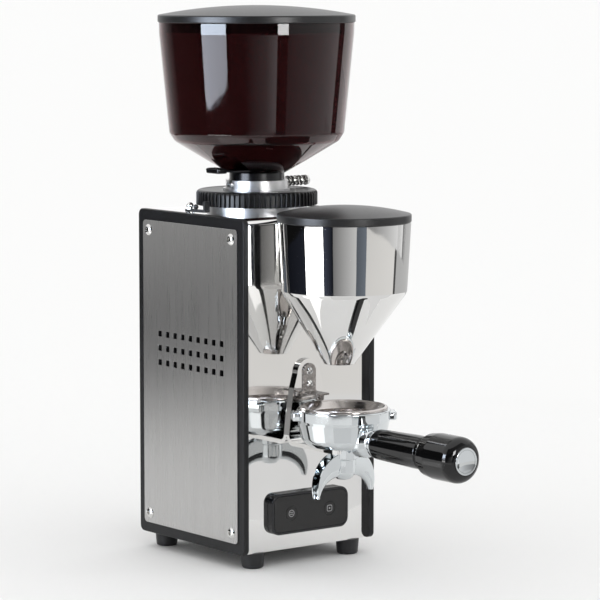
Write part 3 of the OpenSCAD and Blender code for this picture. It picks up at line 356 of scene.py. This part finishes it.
def button_head(r, h, key, sink=1.3):
    """Domed screw head standing on z 0, with a hexagon socket."""
    n = 36
    turns = [math.tau * k / n for k in range(n)]

    def ring(radius, z):
        return [(radius * math.cos(t), radius * math.sin(t), z) for t in turns]

    def hexagon(z):
        flat = key / 2
        return [(flat / math.cos((t % (math.pi / 3)) - math.pi / 6) * math.cos(t),
                 flat / math.cos((t % (math.pi / 3)) - math.pi / 6) * math.sin(t), z) for t in turns]

    dome = (r * r + h * h) / (2 * h)
    steps = [1.0, 0.97, 0.9, 0.8, 0.68, 0.55]
    rings = [ring(r * 0.96, 0), ring(r, 0.2)]
    rings += [ring(r * s, 0.15 + h - dome + math.sqrt(dome * dome - (r * s) ** 2)) for s in steps]
    top = rings[-1][0][2]
    rings += [hexagon(top + 0.1), hexagon(top - sink)]
    return loft(rings, False)


# ---------- housing ----------

VENTS = [(BURR_Y + (column - 4) * 10.7, 181.2 - row * 11.8) for column in range(9) for row in range(3)]
vent_outlines = [rounded_rect(5, 5, 0.4, y, z, 2) for y, z in VENTS]
TO_SIDE = Matrix(((0, 0, 1, 0), (1, 0, 0, 0), (0, 1, 0, 0), (0, 0, 0, 1)))

cover_outline = rounded_rect(2 * COVER_Y, HOUSING_TOP - FOOT_H, 5, 0, (HOUSING_TOP + FOOT_H) / 2, 10)
plate_outline = rounded_rect(130, 252.5, 3.5, 0, 147.75, 8)
cover = plate([cover_outline] + vent_outlines, COVER_X - INNER_X, 0.9)
PLATE_T = 1.0
side_plate = plate([plate_outline] + vent_outlines, PLATE_T, 0.2)
for name, x_cover, x_plate in (("left", -COVER_X, -COVER_X - PLATE_T), ("right", INNER_X, COVER_X)):
    piece(name + "_cover_panel", [moved(cover, Matrix.Translation((x_cover, 0, 0)) @ TO_SIDE)],
          "housing", "black_cover", [name + "_side_cover"])
    piece(name + "_brushed_plate", [moved(side_plate, Matrix.Translation((x_plate, 0, 0)) @ TO_SIDE)],
          "housing", "brushed_plate", [name + "_side_plate"])

head = button_head(4.7, 2.3, 3)
shank = lathe(rounded([(0, -15, 0), (2, -15, 0.5), (2, 0.2, 0), (0, 0.2, 0)]), 24)
piece("plate_button_screws",
      [moved(shape, frame_at((x, y, z), axis, spin))
       for x, axis in ((-COVER_X - PLATE_T, "-X"), (COVER_X + PLATE_T, "X"))
       for y, z, spin in ((-57, 29.7, 12), (57, 29.7, 40), (-57, 266, 25), (57, 266, 3))
       for shape in (head, shank)],
      "housing", "steel_screw", ["plate_screws"])

# ---------- control box ----------

frame_shape = plate([rounded_rect(78, 33.5, 8, 0, 0, 10), rounded_rect(73.4, 28.9, 5.7, 0, 0, 10)], 6.0, 0.7)
piece("control_slab_frame", [moved(frame_shape, frame_at((0, FRONT_Y, BOX_Z), "-Y"))],
      "housing", "control_frame", ["control_box_frame"])
key_holes = [circle(5.7, x, 0) for x in (-KEY_X, KEY_X)]
face_shape = plate([rounded_rect(73.3, 28.8, 5.6, 0, 0, 10)] + key_holes, 2.0, 0.15)
piece("control_slab_face", [moved(face_shape, frame_at((0, BOX_FRONT_Y + 2, BOX_Z), "-Y"))],
      "housing", "control_plastic", ["control_face"])
key_shape = lathe(rounded([(0, 0, 0), (5.5, 0, 0.25), (5.5, 2.2, 0), (6.8, 2.2, 0), (6.8, 2.8, 0),
                           (0, 2.8, 0)]), 48)
for name, x in (("left", -KEY_X), ("right", KEY_X)):
    piece(name + "_key_cap", [moved(key_shape, frame_at((x, BOX_FRONT_Y, BOX_Z), "Y"))],
          name + "_button", "control_plastic", [name + "_key"])

ICON_T = 0.06
ring_icon = plate([circle(2.9), circle(2.3)], ICON_T, 0.01)
bar_icon = [plate([rounded_rect(3.2, 0.55, 0.25, 0, y, 3)], ICON_T, 0.01) for y in (-0.75, 0.75)]
square_icon = plate([rounded_rect(5.4, 5.4, 1.5), rounded_rect(4.2, 4.2, 1.0)], ICON_T, 0.01)
dot_icon = plate([circle(0.8, 0, 0, 24)], ICON_T, 0.01)
for name, x, shapes in (("left", -KEY_X, [ring_icon] + bar_icon), ("right", KEY_X, [square_icon, dot_icon])):
    piece(name + "_key_mark", [moved(shape, frame_at((x, BOX_FRONT_Y, BOX_Z), "-Y")) for shape in shapes],
          name + "_button", "zinc_casting", weighted=False)

# ---------- adjusting ring ----------

RIB_STEPS = [(0.0, 1.0), (0.08, 0.97), (0.13, 0.82), (0.16, 0.5), (0.19, 0.12), (0.23, 0.0), (0.41, 0.0),
             (0.59, 0.0), (0.77, 0.0), (0.81, 0.12), (0.84, 0.5), (0.87, 0.82), (0.92, 0.97)]
RING_GROOVES, RING_H, SHOULDER, GROOVE_R = 70, 12.4, 3.5, 48.0
levels = [(27.9, 0.3), (28.2, 0.0), (RING_R - 0.4, 0.0), (RING_R, 0.4), (RING_R, 4.0), (RING_R, 8.9)]
levels += [(RING_R - SHOULDER + r, RING_H - SHOULDER + z) for r, z in arc(0, 0, SHOULDER, 11, 90, 8)]
levels += [(44.5, RING_H), (43.9, RING_H - 0.35), (29.6, RING_H - 0.35), (28.2, RING_H - 0.6),
           (27.9, RING_H - 1.0)]
ring_rings = []
for r, z in levels:
    low = min(r, GROOVE_R + max(0.0, z - 10.2) * 0.5)
    ring_rings.append([
        ((low + (r - low) * rib) * math.cos(math.tau * (k + phase) / RING_GROOVES),
         (low + (r - low) * rib) * math.sin(math.tau * (k + phase) / RING_GROOVES), z)
        for k in range(RING_GROOVES) for phase, rib in RIB_STEPS
    ])
piece("ribbed_adjusting_ring", [moved(loft(ring_rings), frame_at((0, BURR_Y, RING_Z)))],
      "grind_ring", "ring_plastic", ["adjusting_ring"], 40.0)
mark = plate([rounded_rect(1.4, 7, 0.5)], 0.5, 0.12)
piece("ring_index_mark",
      [moved(mark, Matrix.Translation((0, BURR_Y, RING_Z + RING_H - 0.55))
             @ Matrix.Rotation(math.radians(-107), 4, "Z") @ Matrix.Translation((40.5, 0, 0)))],
      "grind_ring", "collar_metal")

# ---------- sprung pin ----------

WIRE_R, COIL_R, COIL_TURNS, COIL_START, COIL_END = 1.1, 3.2, 4.5, 30.8, 48.4
steps = int(28 * COIL_TURNS)
coil = [Vector((COIL_START + (COIL_END - COIL_START) * k / steps,
                BURR_Y + COIL_R * math.cos(math.tau * k * COIL_TURNS / steps),
                PIN_Z + COIL_R * math.sin(math.tau * k * COIL_TURNS / steps))) for k in range(steps + 1)]
piece("pin_spring_coil", [sweep(coil, circle(WIRE_R, 0, 0, 10))], None, "steel_screw",
      ["hopper_pin_spring"], blend=("burr_lift", "pin",
                                    (COIL_START * MM, BURR_Y * MM, PIN_Z * MM),
                                    (COIL_END * MM, BURR_Y * MM, PIN_Z * MM)))
pin_outline = rounded([(0, 22.7, 0), (2, 22.7, 0.4), (2, 49.5, 0), (4.3, 49.5, 0.5), (4.3, 52.9, 1.6),
                       (0, 52.9, 0)])
piece("pull_pin", [moved(lathe(pin_outline, 48), frame_at((0, BURR_Y, PIN_Z), "X"))],
      "pin", "steel_screw", ["hopper_pin"])

# ---------- hopper, gate and lid ----------

WALL, BAND_Z = 2.6, 427.2
outer = [(24, 314, 0), (40.8, 323.7, 14), (67.4, 339.7, 9), (71.7, 346.4, 6), (HOPPER_R - 0.3, BAND_Z, 4),
         (HOPPER_R, HOPPER_RIM_Z, 0.4)]
inner = [(HOPPER_R - WALL, HOPPER_RIM_Z, 0.4), (HOPPER_R - 0.3 - WALL, BAND_Z, 4), (69.0, 347.2, 5),
         (65.4, 341.6, 7), (39.4, 325.7, 12), (21.4, 315.2, 0)]
hopper_outline = rounded(outer + inner + [(21.4, 314, 0)], 8)
piece("smoked_hopper", [moved(lathe(hopper_outline, 192), frame_at((0, BURR_Y, 0)))],
      "bean_hopper", "smoked_plastic", ["hopper"])

gate_outline = arc(0, 0, 18.6, -90, 90, 32) + [(-38, 18.6), (-38, -18.6)]
gate_plate = plate([gate_outline], 1.6, 0.3)
gate_tab = plate([rounded_rect(9.6, 18, 2.2)], 4.2, 1.0)
gate_rib = plate([rounded_rect(1.4, 14, 0.6)], 0.9, 0.25)
piece("gate_with_tab",
      [moved(gate_plate, Matrix.Translation((0, BURR_Y, 315.6))),
       moved(gate_tab, Matrix.Translation((-40.8, BURR_Y, 314.4)))]
      + [moved(gate_rib, Matrix.Translation((x, BURR_Y, 318.0))) for x in (-43.4, -40.8, -38.2)],
      "gate", "neck_plastic", ["gate_slide"])


def dome(r, h, steps, drop=0.0):
    """Points of a shallow dome of radius r and height h, from the rim to the axis."""
    sphere = (r * r + h * h) / (2 * h)
    radii = [r * (1 - k / steps) for k in range(steps + 1)]
    return [(x, h - sphere + math.sqrt(sphere * sphere - x * x) - drop) for x in radii]


LID_R, LID_BAND, LID_DOME = 80.7, 5.9, 7.8
lid_edge = rounded([(74.5, -8, 0.4), (76.5, -8, 0.4), (76.5, 0, 0), (LID_R, 0, 0.7), (LID_R, LID_BAND, 1.3),
                    (LID_R - 6, LID_BAND + 1.05, 0), (74.5, LID_BAND - 2, 0)], 5)
lid_top = [(x, LID_BAND + z) for x, z in dome(LID_R, LID_DOME, 14)[2:]]
lid_under = [(x, LID_BAND + z) for x, z in reversed(dome(LID_R, LID_DOME, 14, 2.0)[2:])]
lid_outline = lid_edge[:-2] + lid_top + lid_under + [lid_edge[-1]]
piece("domed_hopper_lid", [moved(lathe(lid_outline, 160), frame_at((0, BURR_Y, HOPPER_RIM_Z)))],
      "hopper_cover", "lid_plastic", ["hopper_lid"])


# ---------- grounds funnel and its lid ----------

def clipped_lathe(levels, plane_y, segments=256):
    """Turned shape whose rings (radius, z, centre y, inset) are flattened where they pass a plane."""
    turns = [math.tau * k / segments for k in range(segments)]
    return loft([[(r * math.cos(t), min(cy + r * math.sin(t), plane_y - inset), z) for t in turns]
                 for r, z, cy, inset in levels])


CONE_LOW_Z, CONE_LOW_R, CONE_LOW_Y, STEEL = 167.0, 12.0, -110.6, 1.2


def cone_level(z, inset):
    """Ring of the leaning cone at a height."""
    share = max((z - CONE_LOW_Z) / (FUNNEL_LOW_Z - CONE_LOW_Z), 0)
    return (CONE_LOW_R + (49.9 - CONE_LOW_R) * share - inset * 1.2, z,
            CONE_LOW_Y + (FUNNEL_Y - CONE_LOW_Y) * share, inset)


barrel = [(FUNNEL_R - 0.35, FUNNEL_RIM_Z, FUNNEL_Y, 0.35), (FUNNEL_R, FUNNEL_RIM_Z - 0.35, FUNNEL_Y, 0),
          (52.0, 262, FUNNEL_Y, 0), (51.0, 244, FUNNEL_Y, 0), (50.0, 226.8, FUNNEL_Y, 0),
          (49.75, 225.7, FUNNEL_Y, 0), (49.3, 224.7, FUNNEL_Y, 0)]
cone = [cone_level(z, 0) for z in (223.6, 210, 196, 182, 170, CONE_LOW_Z + 0.3)]
tip = [cone_level(CONE_LOW_Z, 0.3), cone_level(CONE_LOW_Z, STEEL - 0.3)]
cone_inside = [cone_level(z, STEEL) for z in (CONE_LOW_Z + 0.3, 182, 196, 210, 223.6)]
barrel_inside = [(48.6, 226, FUNNEL_Y, STEEL), (FUNNEL_R - STEEL, FUNNEL_RIM_Z - 0.35, FUNNEL_Y, STEEL),
                 (FUNNEL_R - STEEL + 0.35, FUNNEL_RIM_Z, FUNNEL_Y, STEEL - 0.35)]
piece("mirror_funnel", [clipped_lathe(barrel + cone + tip + cone_inside + barrel_inside, FRONT_Y)],
      "housing", "polished_steel", ["grounds_funnel"], 25.0)

COVER_R, COVER_BAND, COVER_DOME = 53.3, 6.0, 6.5
edge = rounded([(49.2, -4, 0.3), (51.2, -4, 0.3), (51.2, 0, 0), (COVER_R, 0, 0.6), (COVER_R, COVER_BAND, 1.2),
                (COVER_R - 5, COVER_BAND + 1.15, 0), (49.2, COVER_BAND - 2, 0)], 5)
over = [(x, COVER_BAND + z) for x, z in dome(COVER_R, COVER_DOME, 12)[2:]]
under = [(x, COVER_BAND + z) for x, z in reversed(dome(COVER_R, COVER_DOME, 12, 2.0)[2:])]
outer_count = len(edge) - 2 + len(over)
cap = [(r, FUNNEL_RIM_Z + z, FUNNEL_Y, 1.6 if z < 0 else 0.3 if k < outer_count else 2.3)
       for k, (r, z) in enumerate(edge[:-2] + over + under + [edge[-1]])]
piece("domed_funnel_lid", [clipped_lathe(cap, FRONT_Y)], "funnel_cover", "lid_plastic", ["funnel_lid"])

# ---------- rim clip ----------

CLIP_W, CLIP_BACK_Y, CLIP_T, TAB_Z = 12.6, -70.9, 1.5, 139.0
strip_outline = ([(CLIP_W / 2, TAB_Z)] + arc(0, 157, CLIP_W / 2, 0, 180, 20) + [(-CLIP_W / 2, TAB_Z)])
strip_holes = [circle(1.5, 0, z, 20) for z in (146.6, 157)]
strip = plate([strip_outline] + strip_holes, CLIP_T, 0.35)
tab_outline = rounded([(-CLIP_W / 2, -72.0, 0), (-CLIP_W / 2, -80, 3), (-6.6, -84.5, 2.5), (-6.6, -90, 1.2),
                       (6.6, -90, 1.2), (6.6, -84.5, 2.5), (CLIP_W / 2, -80, 3), (CLIP_W / 2, -72.0, 0)], 5)
tab = plate([tab_outline], CLIP_T, 0.35)
pad = lathe(rounded([(0, 134.6, 0), (3.4, 134.6, 1.0), (3.8, 139.6, 0.3), (0, 139.6, 0)]), 40)
bend_outline = [(-72.4, TAB_Z + 3), (-70.9, TAB_Z + 3), (-70.9, TAB_Z + 0.8), (-71.7, TAB_Z),
                (-75, TAB_Z), (-75, TAB_Z + 1.5), (-73, TAB_Z + 1.55), (-72.5, TAB_Z + 2)]
bend = loft([[(x, y, z) for y, z in bend_outline] for x in (-CLIP_W / 2 + 0.05, CLIP_W / 2 - 0.05)], False)
piece("bent_rim_clip",
      [moved(strip, Matrix(((1, 0, 0, 0), (0, 0, -1, CLIP_BACK_Y), (0, 1, 0, 0), (0, 0, 0, 1)))),
       moved(tab, Matrix.Translation((0, 0, TAB_Z))), bend, moved(pad, frame_at((0, -85, 0)))],
      "housing", "clip_steel", ["rim_clip"])

# ---------- portafilter ----------

bowl_outline = rounded([
    (8.1, BOWL_LOW_Z, 0.3), (27.5, BOWL_LOW_Z, 5), (33.6, 106.5, 9), (36.6, 121.2, 3), (37.5, 123.4, 0.8),
    (37.5, 131.4, 0.9), (32.4, 131.4, 0.5), (32.4, 127.4, 0), (35.0, 127.0, 0), (29.0, 104.8, 2),
    (8.1, 104.8, 0)], 6)
bowl = moved(lathe(bowl_outline, 160), frame_at((0, FILTER_Y, 0)))
ear = plate([rounded([(-9, -6, 0), (9, -6, 0), (9, 5.6, 3), (-9, 5.6, 3)], 6)], 6.5, 1.2)
ears = [moved(ear, Matrix.Translation((0, FILTER_Y, 122.9))
              @ Matrix.Rotation(math.radians(-32 + turn - 90), 4, "Z") @ Matrix.Translation((0, 36.3, 0)))
        for turn in (0, 180)]
neck_outline = rounded([
    (4.1, 141, 0), (13.5, 141, 0), (12.2, 149, 6), (8.2, 153, 3), (8.0, 156.6, 1.5), (11.2, 158.2, 0.8),
    (11.2, 161, 0.6), (4.1, 161, 0)], 5)
neck = moved(lathe(neck_outline, 64), frame_at((0, 0, HANDLE_Z), "-Y"))
piece("chrome_bowl", [bowl] + ears + [neck], "portafilter", "chromed_brass", ["portafilter_body"])

basket_outline = ([(31.0, 132.7)] + arc(33.5, 132.2, 1.8, 150, -145, 18)
                  + rounded([(31.4, 131.3, 0.4), (30.1, 128.8, 0.5), (29.6, 124, 1), (30.0, 122.6, 0.8),
                             (29.4, 121.2, 1), (27.8, 108.2, 1.6), (0, 108.2, 0)], 4)
                  + rounded([(0, 109.0, 0), (27.0, 109.0, 1.2), (28.7, 121.3, 1), (29.2, 122.6, 0.8),
                             (28.8, 124, 1), (29.4, 130.6, 2)], 4))
piece("rolled_rim_basket", [moved(lathe(basket_outline, 128), frame_at((0, FILTER_Y, 0)))],
      "portafilter", "basket_steel", ["filter_basket"])

boss_outline = rounded([(0, 101.6, 0), (9.8, 101.6, 0), (9.8, 100.2, 0.3), (11.3, 99.8, 0.5),
                        (11.3, 92.0, 0.8), (10.0, 90.8, 0.5), (10.0, 80, 6), (5.5, 75.0, 3), (0, 74.6, 0)], 6)
boss = moved(lathe(list(reversed(boss_outline)), 64), frame_at((0, FILTER_Y, 0)))
LEG_STEPS, SPOUT_TURN, GUTTER_FLOOR, TIP_CLOSING = 30, 9.4, 0.62, 0.62
side_turns = [math.radians(a) for a in range(0, 181, 15)]
legs = []
for way in (1, -1):
    rings = []
    for k in range(LEG_STEPS + 1):
        t = k / LEG_STEPS
        # the under edge and the upper edge of the leg run on arcs that close towards the tip
        under_turn, upper_turn = math.radians(96 - 78 * t), math.radians(80 - 86.5 * t)
        under = Vector((8 + 23 * math.cos(under_turn), 56 + 21 * math.sin(under_turn)))
        upper = Vector((3 + 34 * math.cos(upper_turn), 66 + 31 * math.sin(upper_turn)))
        out = (upper - under) * (1 - TIP_CLOSING * t ** 3)
        half = 5.2 - 2.4 * t ** 1.2
        wall = 0.9 - 0.3 * t
        floor_rise = wall / max(out.length, 0.5)
        # outside of the gutter first, then its inside, as (across, share of the way out)
        section = [(half, 1.0)]
        section += [(half * math.cos(a), max(0.0, GUTTER_FLOOR * (1 - math.sin(a)))) for a in side_turns]
        section += [(-half, 1.0), (-half + wall, 1.0)]
        section += [((half - wall) * math.cos(a), min(1.0, GUTTER_FLOOR * (1 - math.sin(a)) + floor_rise))
                    for a in reversed(side_turns)]
        section += [(half - wall, 1.0)]
        rings.append([(way * (under.x + out.x * share), way * across, under.y + out.y * share)
                      for across, share in section])
    legs.append(moved(loft(rings, False), frame_at((0, FILTER_Y, 0), "Z", SPOUT_TURN)))
piece("crescent_spouts", [boss] + legs, "portafilter", "chromed_brass", ["double_spout"], 35.0)

grip_outline = rounded([
    (4.1, 161, 0), (11.0, 161, 0.8), (12.0, 162.5, 2), (13.1, 206, 30), (13.1, 217, 1.4), (11.4, 219.5, 0.8),
    (11.4, 221, 0.8), (16.6, 223.5, 4.0), (18.0, 234, 8), (18.0, 265, 9.2), (9.6, 265, 0.3), (10.9, 264.6, 0),
    (10.9, 262, 0), (4.1, 262, 0)], 10)
piece("gloss_grip", [moved(lathe(grip_outline, 96), frame_at((0, 0, HANDLE_Z), "-Y"))],
      "portafilter", "handle_plastic", ["handle_grip"])
DISH_R, DISH_Z, DISH_DEPTH = 9.8, 265.3, 1.9
disc_outline = rounded([(0, 262, 0), (10.7, 262, 0), (10.7, 265.4, 0.5), (DISH_R, DISH_Z, 0)], 4)
disc_outline += [(DISH_R * t, DISH_Z - DISH_DEPTH * (1 - t * t))
                 for t in (0.9, 0.75, 0.6, 0.45, 0.3, 0.15, 0)]
stud_outline = rounded([(0, 150.2, 0), (4, 150.2, 0.5), (4, 193, 0.5), (0, 193, 0)], 3)
piece("chrome_end_disc",
      [moved(lathe(outline, 64), frame_at((0, 0, HANDLE_Z), "-Y"))
       for outline in (disc_outline, stud_outline)],
      "portafilter", "chromed_brass", ["handle_end_cap"])

# ---------- floor and studio ----------


def flat_material(name, color, rough):
    made, _, _, shader = tree(name)
    shader.inputs["Base Color"].default_value = (*color, 1)
    shader.inputs["Roughness"].default_value = rough
    shader.inputs["Specular IOR Level"].default_value = 0.1
    return made


FLOOR = 90.0
floor_mesh = bpy.data.meshes.new("floor")
floor_mesh.from_pydata([(-FLOOR, -FLOOR, 0), (FLOOR, -FLOOR, 0), (FLOOR, FLOOR, 0), (-FLOOR, FLOOR, 0)], [],
                       [(0, 1, 2, 3)])
floor_mesh.materials.append(flat_material("floor_paper", (0.9, 0.9, 0.895), 0.8))
floor = bpy.data.objects.new("floor", floor_mesh)
SCENE.collection.objects.link(floor)

world = bpy.data.worlds.new("studio")
world.use_nodes = True
world.node_tree.nodes["Background"].inputs["Color"].default_value = (1, 1, 1, 1)
world.node_tree.nodes["Background"].inputs["Strength"].default_value = 1.08
world.cycles.sampling_method = "NONE"
SCENE.world = world

CARD_RING, FILL_RING = 0.95, 0.92
CARD_CENTRE = (0.0, -0.06)


def seen_at(ring, centre_y, r, turn):
    """Where on the ring of cards a round mirror shows the given azimuth to the camera, in metres."""
    normal = math.radians((turn + CAMERA_AZIMUTH) / 2)
    way = Vector((math.sin(math.radians(turn)), -math.cos(math.radians(turn))))
    start = Vector((r * math.sin(normal), centre_y - r * math.cos(normal))) - Vector(CARD_CENTRE)
    along = start.dot(way)
    reach = -along + math.sqrt(along * along - start.dot(start) + ring ** 2)
    return start + way * reach + Vector(CARD_CENTRE)


def grey(value, tint=(1, 1, 1)):
    return [value * t for t in tint]


class Cards:
    """Upright studio cards that only glossy surfaces see, gathered into one mesh."""

    def __init__(self, ring=CARD_RING):
        self.ring = ring
        self.verts, self.faces, self.glow = [], [], []

    def row(self, pairs):
        """A strip of faces through pairs of (place, glow) points."""
        base = len(self.verts)
        for k, ends in enumerate(pairs):
            for place, glow in ends:
                self.verts.append(place)
                self.glow.append([*glow, 1])
            if k:
                corner = base + 2 * k
                self.faces.append((corner - 2, corner, corner + 1, corner - 1))

    def card(self, mirror, start, stop, low, high, first, last, foot=0.0, fade=1.0):
        """Upright card between two azimuths, its glow running from the first colour to the last;
        foot is how far its lower corners are rounded up, fade is the glow's share along its lower edge."""
        count = max(int(abs(stop - start) / 2), 2)
        pairs = []
        for k in range(count + 1):
            t = k / count
            x, y = seen_at(self.ring, *mirror, start + (stop - start) * t)
            rise = foot * (1 - math.sqrt(max(0.0, 1 - (2 * t - 1) ** 2)))
            glow = [a + (b - a) * t for a, b in zip(first, last)]
            pairs.append((((x, y, low + rise), [fade * c for c in glow]), ((x, y, high), glow)))
        self.row(pairs)

    def floor_card(self, start, stop, near, far, glow):
        """Flat card on the floor round the portafilter, between two azimuths and two distances."""
        count = max(int((stop - start) / 4), 1)
        turns = [math.radians(start + (stop - start) * k / count) for k in range(count + 1)]
        self.row([[((reach * math.sin(turn), FILTER_Y * MM - reach * math.cos(turn), 0.001), glow)
                   for reach in (near, far)] for turn in turns])

    def build(self, name, clear, only=(), never=()):
        """The cards as one object. Clear cards add their light to what is behind them. Light linking
        gives the light only to some pieces, or to all but some."""
        mesh = bpy.data.meshes.new(name)
        mesh.from_pydata(self.verts, [], self.faces)
        stored = mesh.color_attributes.new("glow", "FLOAT_COLOR", "POINT")
        for entry, glow in zip(stored.data, self.glow):
            entry.color = glow
        made = bpy.data.materials.new(name + "_glow")
        made.use_nodes = True
        nodes, links = made.node_tree.nodes, made.node_tree.links
        nodes.clear()
        attribute = nodes.new("ShaderNodeAttribute")
        attribute.attribute_name = "glow"
        emission = nodes.new("ShaderNodeEmission")
        links.new(attribute.outputs["Color"], emission.inputs["Color"])
        surface = emission.outputs["Emission"]
        if clear:
            both = nodes.new("ShaderNodeAddShader")
            links.new(surface, both.inputs[0])
            links.new(nodes.new("ShaderNodeBsdfTransparent").outputs["BSDF"], both.inputs[1])
            surface = both.outputs["Shader"]
        links.new(surface, nodes.new("ShaderNodeOutputMaterial").inputs["Surface"])
        made.cycles.emission_sampling = "NONE"
        mesh.materials.append(made)
        obj = bpy.data.objects.new(name, mesh)
        SCENE.collection.objects.link(obj)
        obj.visible_camera = False
        obj.visible_diffuse = False
        obj.visible_shadow = False
        obj.visible_transmission = False
        obj.visible_volume_scatter = False
        if only or never:
            lit = bpy.data.collections.new(name + "_receivers")
            for receiver in list(only) + list(never):
                lit.objects.link(receiver)
            for entry in lit.collection_objects:
                entry.light_linking.link_state = "INCLUDE" if only else "EXCLUDE"
            obj.light_linking.receiver_collection = lit


IN_FUNNEL, IN_HOPPER = (FUNNEL_Y * MM, 0.0515), (BURR_Y * MM, 0.077)
NAVY, COOL, WARM = (0.8, 0.9, 1.3), (0.85, 0.97, 1.15), (1.0, 0.985, 0.96)
SOFTBOX = (0.9, 0.97, 1.12)
LOW, MIDDLE, SILHOUETTE, HIGH, SKIRT, TOP = -0.001, 0.116, 0.2, 0.3, 0.55, 1.3

shades = Cards()
shades.card(IN_FUNNEL, -185, -160, LOW, MIDDLE, grey(0.06), grey(0.06))
shades.card(IN_FUNNEL, -160, -111, LOW, MIDDLE, grey(0.008, NAVY), grey(0.02, NAVY))
shades.card(IN_FUNNEL, -76, -58, LOW, MIDDLE, grey(0.07, NAVY), grey(0.008, NAVY))
shades.card(IN_FUNNEL, -58, -17, LOW, MIDDLE, grey(0.2), grey(0.62))
shades.card(IN_FUNNEL, -17, 0.8, LOW, MIDDLE, grey(0.12, COOL), grey(0.2, COOL))
shades.card(IN_FUNNEL, 0.8, 62, LOW, MIDDLE, grey(0.72, WARM), grey(0.82, WARM))
shades.card(IN_FUNNEL, 62, 67.5, LOW, MIDDLE, grey(0.08), grey(0.08))
shades.card(IN_FUNNEL, 67.5, 150, LOW, SILHOUETTE, grey(0.5), grey(0.6))
shades.card(IN_HOPPER, -200, -154, MIDDLE, HIGH, grey(0.9), grey(0.03))
shades.card(IN_HOPPER, -154, -105, MIDDLE, HIGH, grey(0.006), grey(0.006))
shades.card(IN_HOPPER, -105, -73, MIDDLE, 0.180, grey(0.02), grey(0.02))
shades.card(IN_HOPPER, -73, -50, MIDDLE, HIGH, grey(0.01), grey(0.01))
shades.card(IN_HOPPER, -50, -25, MIDDLE, HIGH, grey(0.02), grey(0.45))
shades.card(IN_HOPPER, -25, -12, MIDDLE, HIGH, grey(0.45), grey(1.3))
shades.card(IN_HOPPER, -12, 1, MIDDLE, HIGH, grey(0.01), grey(0.01))
shades.card(IN_HOPPER, 1, 78, MIDDLE, HIGH, grey(0.2), grey(0.95))
shades.card(IN_HOPPER, 78, 90, MIDDLE, HIGH, grey(0.02), grey(0.02))
shades.card(IN_HOPPER, 90, 150, SILHOUETTE, HIGH, grey(0.9), grey(1.0))
shades.card(IN_HOPPER, -200, -154, HIGH, SKIRT, grey(0.9), grey(0.03))
shades.card(IN_HOPPER, -154, -105, HIGH, SKIRT, grey(0.006), grey(0.006))
shades.card(IN_HOPPER, -73, -12, HIGH, SKIRT, grey(0.006), grey(0.006))
shades.card(IN_HOPPER, 1, 78, HIGH, SKIRT, grey(0.4), grey(0.9))
shades.card(IN_HOPPER, 78, 90, HIGH, SKIRT, grey(0.02), grey(0.02))
shades.card(IN_HOPPER, -73, 40, SKIRT, TOP, grey(0.05), grey(0.3))
shades.floor_card(-64, -19, 0.14, 0.5, grey(0.74))
shades.floor_card(-19, 58, 0.14, 1.0, grey(0.80))
shades.build("studio_shades", False)

plates = [bpy.data.objects[name + "_brushed_plate"] for name in ("left", "right")]
softboxes = Cards()
softboxes.card(IN_FUNNEL, -111, -76, LOW, MIDDLE, grey(5), grey(5))
softboxes.card(IN_HOPPER, -105, -73, 0.172, HIGH, grey(6.6, SOFTBOX), grey(5, SOFTBOX), 0.024)
softboxes.card(IN_HOPPER, -105, -73, HIGH, SKIRT, grey(16, COOL), grey(16, COOL))
softboxes.card(IN_HOPPER, -12, 1, HIGH, SKIRT, grey(14), grey(14))
softboxes.floor_card(-125, -89, 0.14, 0.42, grey(0.6))
softboxes.build("studio_softboxes", True, never=plates)

fills = Cards(FILL_RING)
fills.card(IN_HOPPER, -180, -105, 0.06, 0.22, grey(0.42), grey(0.42), fade=0.0)
fills.card(IN_HOPPER, -180, -105, 0.22, 0.5, grey(0.42), grey(0.42))
fills.build("studio_fills", True, only=plates)
